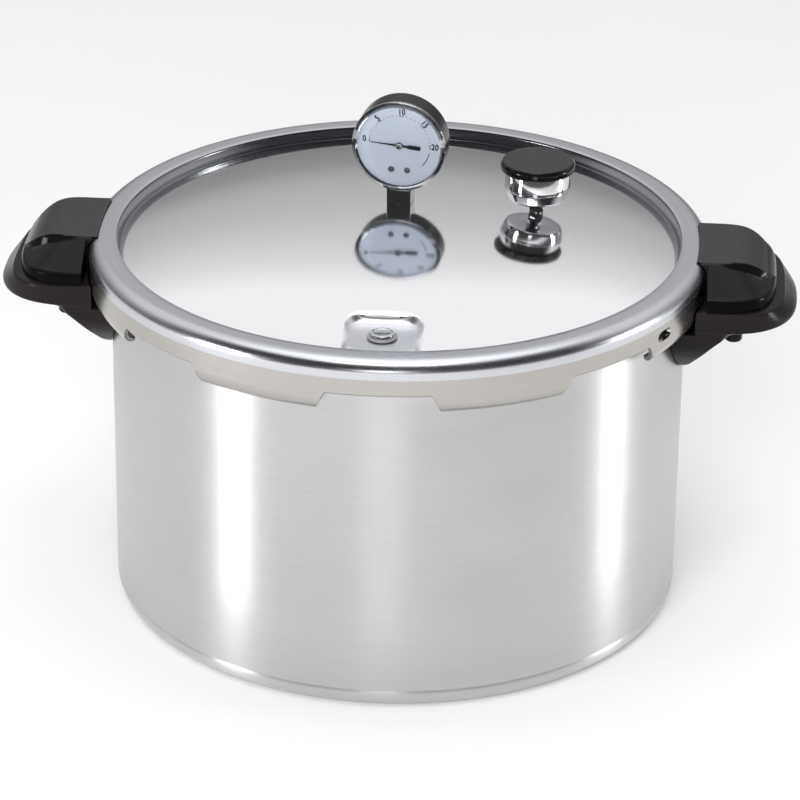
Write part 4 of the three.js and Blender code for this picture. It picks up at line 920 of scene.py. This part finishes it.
# ------------ gauge
GAUGE = shift(*GAUGE_AT, GAUGE_Z) @ spin(GAUGE_TURN)
HUB = GAUGE @ shift(0, 0, GAUGE_CENTRE)
# turned pieces are made about Z and laid with their front towards -Y
FACING = HUB @ spin(90, "X")
DIAL_FACE = 5.0       # the dial's front, from the gauge's axis towards -Y
SCALE_R = 16.9        # radius of the scale's marks
SCALE_ZERO = 174.0    # the 0 mark, anticlockwise from the dial's right
SCALE_STEP = 43.5     # from one numeral to the next


def ring_back(profile):
    """Profile given as (radius, y) becomes (radius, z) for FACING, whose Z runs towards -Y."""
    return [(r, -y) for r, y in profile]


def make_gauge():
    case = filleted(ring_back([
        (0, 9.8), (23.2, 9.8), (CASE_R, 7.6), (CASE_R, -5.0), (CASE_R, -5.95), (24.5, -5.95),
        (24.5, 8.6), (0, 8.6)]),
        [0, 1.0, 2.4, 0.3, 0.3, 0.2, 0.8, 0], 6)
    piece = lathe("case", case, [CASE_BLACK], "lid", "phenolic", ["gauge_case"], 128, FACING, 35)
    boolean(piece, [placed(prism(box_outline(-7.1, 7.1, -7, 7.1), 0, 14.5), GAUGE)])
    lens = filleted(ring_back([
        (0, -9.8), (22.2, -9.8), (23.4, -9.8), (LENS_R, -8.0), (LENS_R, -6.35), (24.3, -6.35),
        (24.3, -8.1), (22.6, -8.6), (0, -8.6)]),
        [0, 0.2, 0.9, 1.2, 0.2, 0.2, 0.6, 0.4, 0], 5)
    lathe("lens", lens, [CLEAR, LENS_RIM], "lid", "lens", ["gauge_lens"], 128, FACING, 35,
          lambda x, y, z: 1 if math.hypot(x, y) > 23.3 else 0)
    dial = filleted(ring_back([
        (1.6, -DIAL_FACE), (23.9, -DIAL_FACE), (24.1, -4.8), (24.1, -4.4), (1.6, -4.4),
        (1.6, -DIAL_FACE)]), 0.08, 2)
    lathe("dial", dial + [dial[0]], [DIAL_WHITE], "lid", "dial", ["gauge_dial"], 128, FACING)
    make_print()
    for word, x in (("left", -4.45), ("right", 4.45)):
        at = HUB @ shift(x, 0, -14.5) @ spin(90, "X")
        head = filleted(ring_back([
            (0, -6.15), (1.1, -6.1), (1.75, -5.7), (1.8, -5.35), (0.75, -5.35), (0.75, -4.0), (0, -4.0)]),
            [0, 0.4, 0.3, 0.1, 0.1, 0.1, 0], 4)
        screw = lathe(f"dial_screw_head_{word}", head, [STEEL],
                      "lid", "steel", [f"dial_screw_{word}"], 40, at)
        bar = prism(box_outline(-1.0, 1.0, -0.22, 0.22), 5.75, 7)
        boolean(screw, [placed(bar, at @ spin(turn)) for turn in (20, 110)])
    half = 6.75
    outline = filleted_loop([(-half, -half), (half, -half), (half, half), (-half, half)], [0.9] * 4, 5)
    body = placed(prism(outline, 0.35, 8.65), GAUGE)
    stem = build("stem_block", *body, [CHROME], "lid", "chrome", ["gauge_stem"])
    neck = prism(box_outline(-half, half, -3.9, half), 8.0, 12.5)
    socket = prism(box_outline(-4.5, 4.5, 2.8, half), 8, 21.5)
    boolean(stem, [placed(neck, GAUGE), placed(socket, GAUGE)], "UNION", 30)
    shank = lathe_data([(0, -12.3), (3.6, -12.3), (4.0, -11.8), (4.0, 1.0), (0, 1.0)], 40)
    boolean(stem, [placed(shank, GAUGE)], "UNION", 30)
    bevel = stem.modifiers.new("edge", "BEVEL")
    bevel.width = 0.35 * MM
    bevel.segments = 3
    bevel.limit_method = "ANGLE"
    bevel.angle_limit = math.radians(50)
    outline = [(-16, 0.12), (-16, -0.12), (-8, -0.3), (-2.4, -0.52), (4.6, -0.6), (5.2, -1.05),
               (11.8, -1.1), (11.8, 1.1), (5.2, 1.05), (4.6, 0.6), (-2.4, 0.52), (-8, 0.3)]
    # at rest the pointer stands a little under the 0
    needle = placed(prism(outline, 6.2, 6.7), HUB @ spin(4, "Y") @ spin(90, "X"))
    build("needle", *needle, [POINTER_BLACK], "pointer_shaft", "pointer", ["gauge_pointer"])
    hub = filleted(ring_back([
        (0, -7.6), (1.6, -7.5), (2.1, -6.95), (2.1, -5.65), (0, -5.65)]), [0, 0.5, 0.3, 0.2, 0], 4)
    lathe("pointer_hub", hub, [STEEL], "pointer_shaft", "pointer", (), 48, FACING)


def on_dial(angle, radius):
    return radius * math.cos(angle), radius * math.sin(angle)


def dial_bar(angle, radius, length, width):
    """A printed bar on the dial: centre at the angle and radius, long side across the radius."""
    c, s = math.cos(angle), math.sin(angle)
    corners = box_outline(-length / 2, length / 2, -width / 2, width / 2)
    return [(radius * c - u * s + v * c, radius * s + u * c + v * s) for u, v in corners]


def make_print():
    """Scale marks, numerals and end arc, as thin raised print."""
    marks = []
    zero, step = math.radians(SCALE_ZERO), math.radians(SCALE_STEP)
    for i in range(21):
        angle = zero - step * i / 5
        if i % 5 == 0:
            marks.append(dial_bar(angle + 0.04, SCALE_R, 1.0, 0.5))
            marks.append(dial_bar(angle - 0.04, SCALE_R, 1.0, 0.5))
        else:
            marks.append(round_outline(*on_dial(angle, SCALE_R), 0.26, 10))
    steps = 14
    first, last = math.radians(-12), math.radians(-42)
    spread = [first + (last - first) * k / steps for k in range(steps + 1)]
    marks.append([on_dial(a, 17.2) for a in spread] + [on_dial(a, 16.75) for a in spread[::-1]])
    points, faces = [], []
    for outline in marks:
        p, f = prism(outline, DIAL_FACE + 0.01, DIAL_FACE + 0.09)
        faces += [tuple(i + len(points) for i in face) for face in f]
        points += moved(p, FACING)
    build("dial_marks", points, faces, [PRINT_BLACK], "lid", "dial")
    # the numerals, each with its radius and its lean in degrees
    for count, (text, radius, lean) in enumerate((
            ("0", 19.7, 4), ("5", 19.1, 50), ("10", 19.1, 2), ("15", 19.1, -48), ("20", 19.7, -2))):
        curve = bpy.data.curves.new(f"numeral_{text}", "FONT")
        curve.body = text
        curve.size = 4.8
        curve.align_x, curve.align_y = "CENTER", "CENTER"
        curve.extrude = 0.04
        curve.offset = 0.17
        curve.resolution_u = 6
        curve.space_character = 1.05
        holder = link(f"numeral_{text}", curve)
        bpy.context.view_layer.update()
        graph = bpy.context.evaluated_depsgraph_get()
        mesh = bpy.data.meshes.new_from_object(holder.evaluated_get(graph), depsgraph=graph)
        bpy.data.objects.remove(holder)
        place = FACING @ shift(*on_dial(zero - count * step, radius), DIAL_FACE + 0.05)
        place = place @ spin(lean) @ Matrix.Scale(0.82, 4, (1, 0, 0))
        mesh.transform(Matrix.Scale(MM, 4) @ place)
        mesh.materials.clear()
        mesh.materials.append(PRINT_BLACK)
        settle(link(f"dial_number_{text}", mesh), "lid")


# ------------ inner pieces that keep their CAD shape
def dress_cad():
    kept = {
        STEEL: ["locking_bracket", "vent_nut", "gauge_nut", "body_handle_bolt_left", "body_handle_bolt_right"],
        INSIDE_METAL: ["rack", "body_bracket_left", "body_bracket_right"],
        RUBBER: ["sealing_ring", "gauge_seal"],
        BRASS: ["bourdon_tube", "movement_frame", "pinion_shaft", "sector_gear", "gauge_link"],
    }
    kept[STEEL] += [f"cover_handle_screw_{word}_{k}" for word in ("left", "right") for k in (1, 2)]
    for made, names in kept.items():
        for name in names:
            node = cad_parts[name]
            node.data.materials.clear()
            node.data.materials.append(made)


# ------------ studio, in metres
FLOOR_R = 2.6
FLOOR_GLOW = 0.12
CAMERA_AZIMUTH, CAMERA_ELEVATION = 4.4, 25.92
CAMERA_ROLL = 0.66
CAMERA_DISTANCE = 2.0948
CAMERA_TARGET = (0, 0, 0.1069)
PICTURE = 800         # pixels a side, which the next two are measured in
FOCAL = 3744
SHIFT_X = 2.5
SENSOR = 36
LIGHT_TARGET = Vector((0, 0, 0.1))
# name, degrees from the camera's side towards +X, elevation, distance, width, height, power, glossy
LIGHTS = [
    ("strip_left", -61, 4, 1.6, 0.28, 0.6, 8.6, True),
    ("strip_right", 86, 4, 1.6, 0.24, 0.6, 7.6, True),
    ("front_strip", -5, 11, 2.2, 0.5, 0.45, 2.6, True),
    ("front_high", -5, 66, 2.0, 0.9, 0.5, 4.0, True),
    ("dial_fill", -12, 34, 2.2, 1.1, 1.1, 30.0, False),
]


def make_floor():
    mesh = bpy.data.meshes.new("floor")
    count = 96
    points = [(0, 0, 0)] + [(x, y, 0) for x, y in round_outline(0, 0, FLOOR_R, count)]
    faces = [(0, 1 + i, 1 + (i + 1) % count) for i in range(count)]
    mesh.from_pydata(points, [], faces)
    made, nodes, shader = material("studio_floor")
    cloud = nodes.spread(nodes.noise(nodes.place(), 3.0), 0, 1)
    nodes.set(
        shader, Base_Color=nodes.mix_colour(cloud, (0.78, 0.78, 0.78), (0.8, 0.8, 0.8)),
        Roughness=0.7, Specular_IOR_Level=0.1, Emission_Color=(1, 1, 1, 1), Emission_Strength=FLOOR_GLOW)
    mesh.materials.append(made)
    link("floor", mesh)


def make_world():
    world = bpy.data.worlds.new("studio")
    bpy.context.scene.world = world
    world.use_nodes = True
    nodes = Nodes(world.node_tree)
    way = nodes.new("ShaderNodeTexCoord").outputs["Generated"]
    parts = nodes.new("ShaderNodeSeparateXYZ", {0: way})
    rise = nodes.maths("MULTIPLY", nodes.maths("ADD", parts.outputs[2], 1.0), 0.5)

    # brightness by height, behind the object
    back = nodes.ramp(rise, [
        (-1.0, 0.3), (-0.02, 0.22), (0.18, 0.30), (0.28, 0.45), (0.4, 0.58), (0.5, 0.75),
        (0.6, 1.0), (0.78, 1.0),
    ])
    # the camera's side of the room is dark up to a good height
    front = nodes.ramp(rise, [
        (-1.0, 0.3), (0.0, 0.12), (0.25, 0.04), (0.78, 0.04), (0.9, 0.7), (0.97, 1.0),
    ])
    side = nodes.remap(parts.outputs[1], -0.25, 0.3, interpolation_type="SMOOTHSTEP")
    overhead = nodes.remap(parts.outputs[2], 0.8, 0.93, 1.0, 1.8, interpolation_type="SMOOTHSTEP")
    room = nodes.mix_colour(side, front, back)
    shown = nodes.new("ShaderNodeBackground", {"Color": room, "Strength": overhead})
    # the camera itself sees plain white
    plain = nodes.new("ShaderNodeBackground", {"Color": (1, 1, 1, 1), "Strength": 1.0})
    eye = nodes.new("ShaderNodeLightPath").outputs["Is Camera Ray"]
    both = nodes.new("ShaderNodeMixShader", {0: eye, 1: shown.outputs[0], 2: plain.outputs[0]})
    nodes.new("ShaderNodeOutputWorld", {"Surface": both.outputs[0]})


def outward(azimuth, elevation):
    """Unit vector in degrees; azimuth 0 is the front, 90 is +X."""
    a, e = math.radians(azimuth), math.radians(elevation)
    return Vector((math.sin(a) * math.cos(e), -math.cos(a) * math.cos(e), math.sin(e)))


def area_light(name, offset, elevation, distance, width, height, power, glossy):
    light = bpy.data.lights.new(name, "AREA")
    light.shape = "RECTANGLE"
    light.size, light.size_y = width, height
    light.energy = power
    piece = link(name, light)
    away = outward(CAMERA_AZIMUTH + offset, elevation)
    piece.location = LIGHT_TARGET + away * distance
    piece.rotation_mode = "QUATERNION"
    piece.rotation_quaternion = (-away).to_track_quat("-Z", "Y")
    piece.visible_camera = False
    piece.visible_glossy = glossy


def make_camera():
    camera = bpy.data.cameras.new("camera")
    holder = link("camera", camera)
    away = outward(CAMERA_AZIMUTH, CAMERA_ELEVATION)
    holder.location = Vector(CAMERA_TARGET) + away * CAMERA_DISTANCE
    holder.rotation_mode = "QUATERNION"
    holder.rotation_quaternion = (-away).to_track_quat("-Z", "Y") @ spin(CAMERA_ROLL).to_quaternion()
    camera.sensor_width = SENSOR
    camera.lens = FOCAL / PICTURE * SENSOR
    camera.shift_x = SHIFT_X / PICTURE
    camera.clip_start, camera.clip_end = 0.05, 50
    bpy.context.scene.camera = holder


make_pot()
make_cover()
make_handles()
make_regulator()
make_lock()
make_plug()
make_gauge()
dress_cad()
make_floor()
make_world()
for row in LIGHTS:
    area_light(*row)
make_camera()
bpy.context.scene.view_settings.view_transform = "Standard"
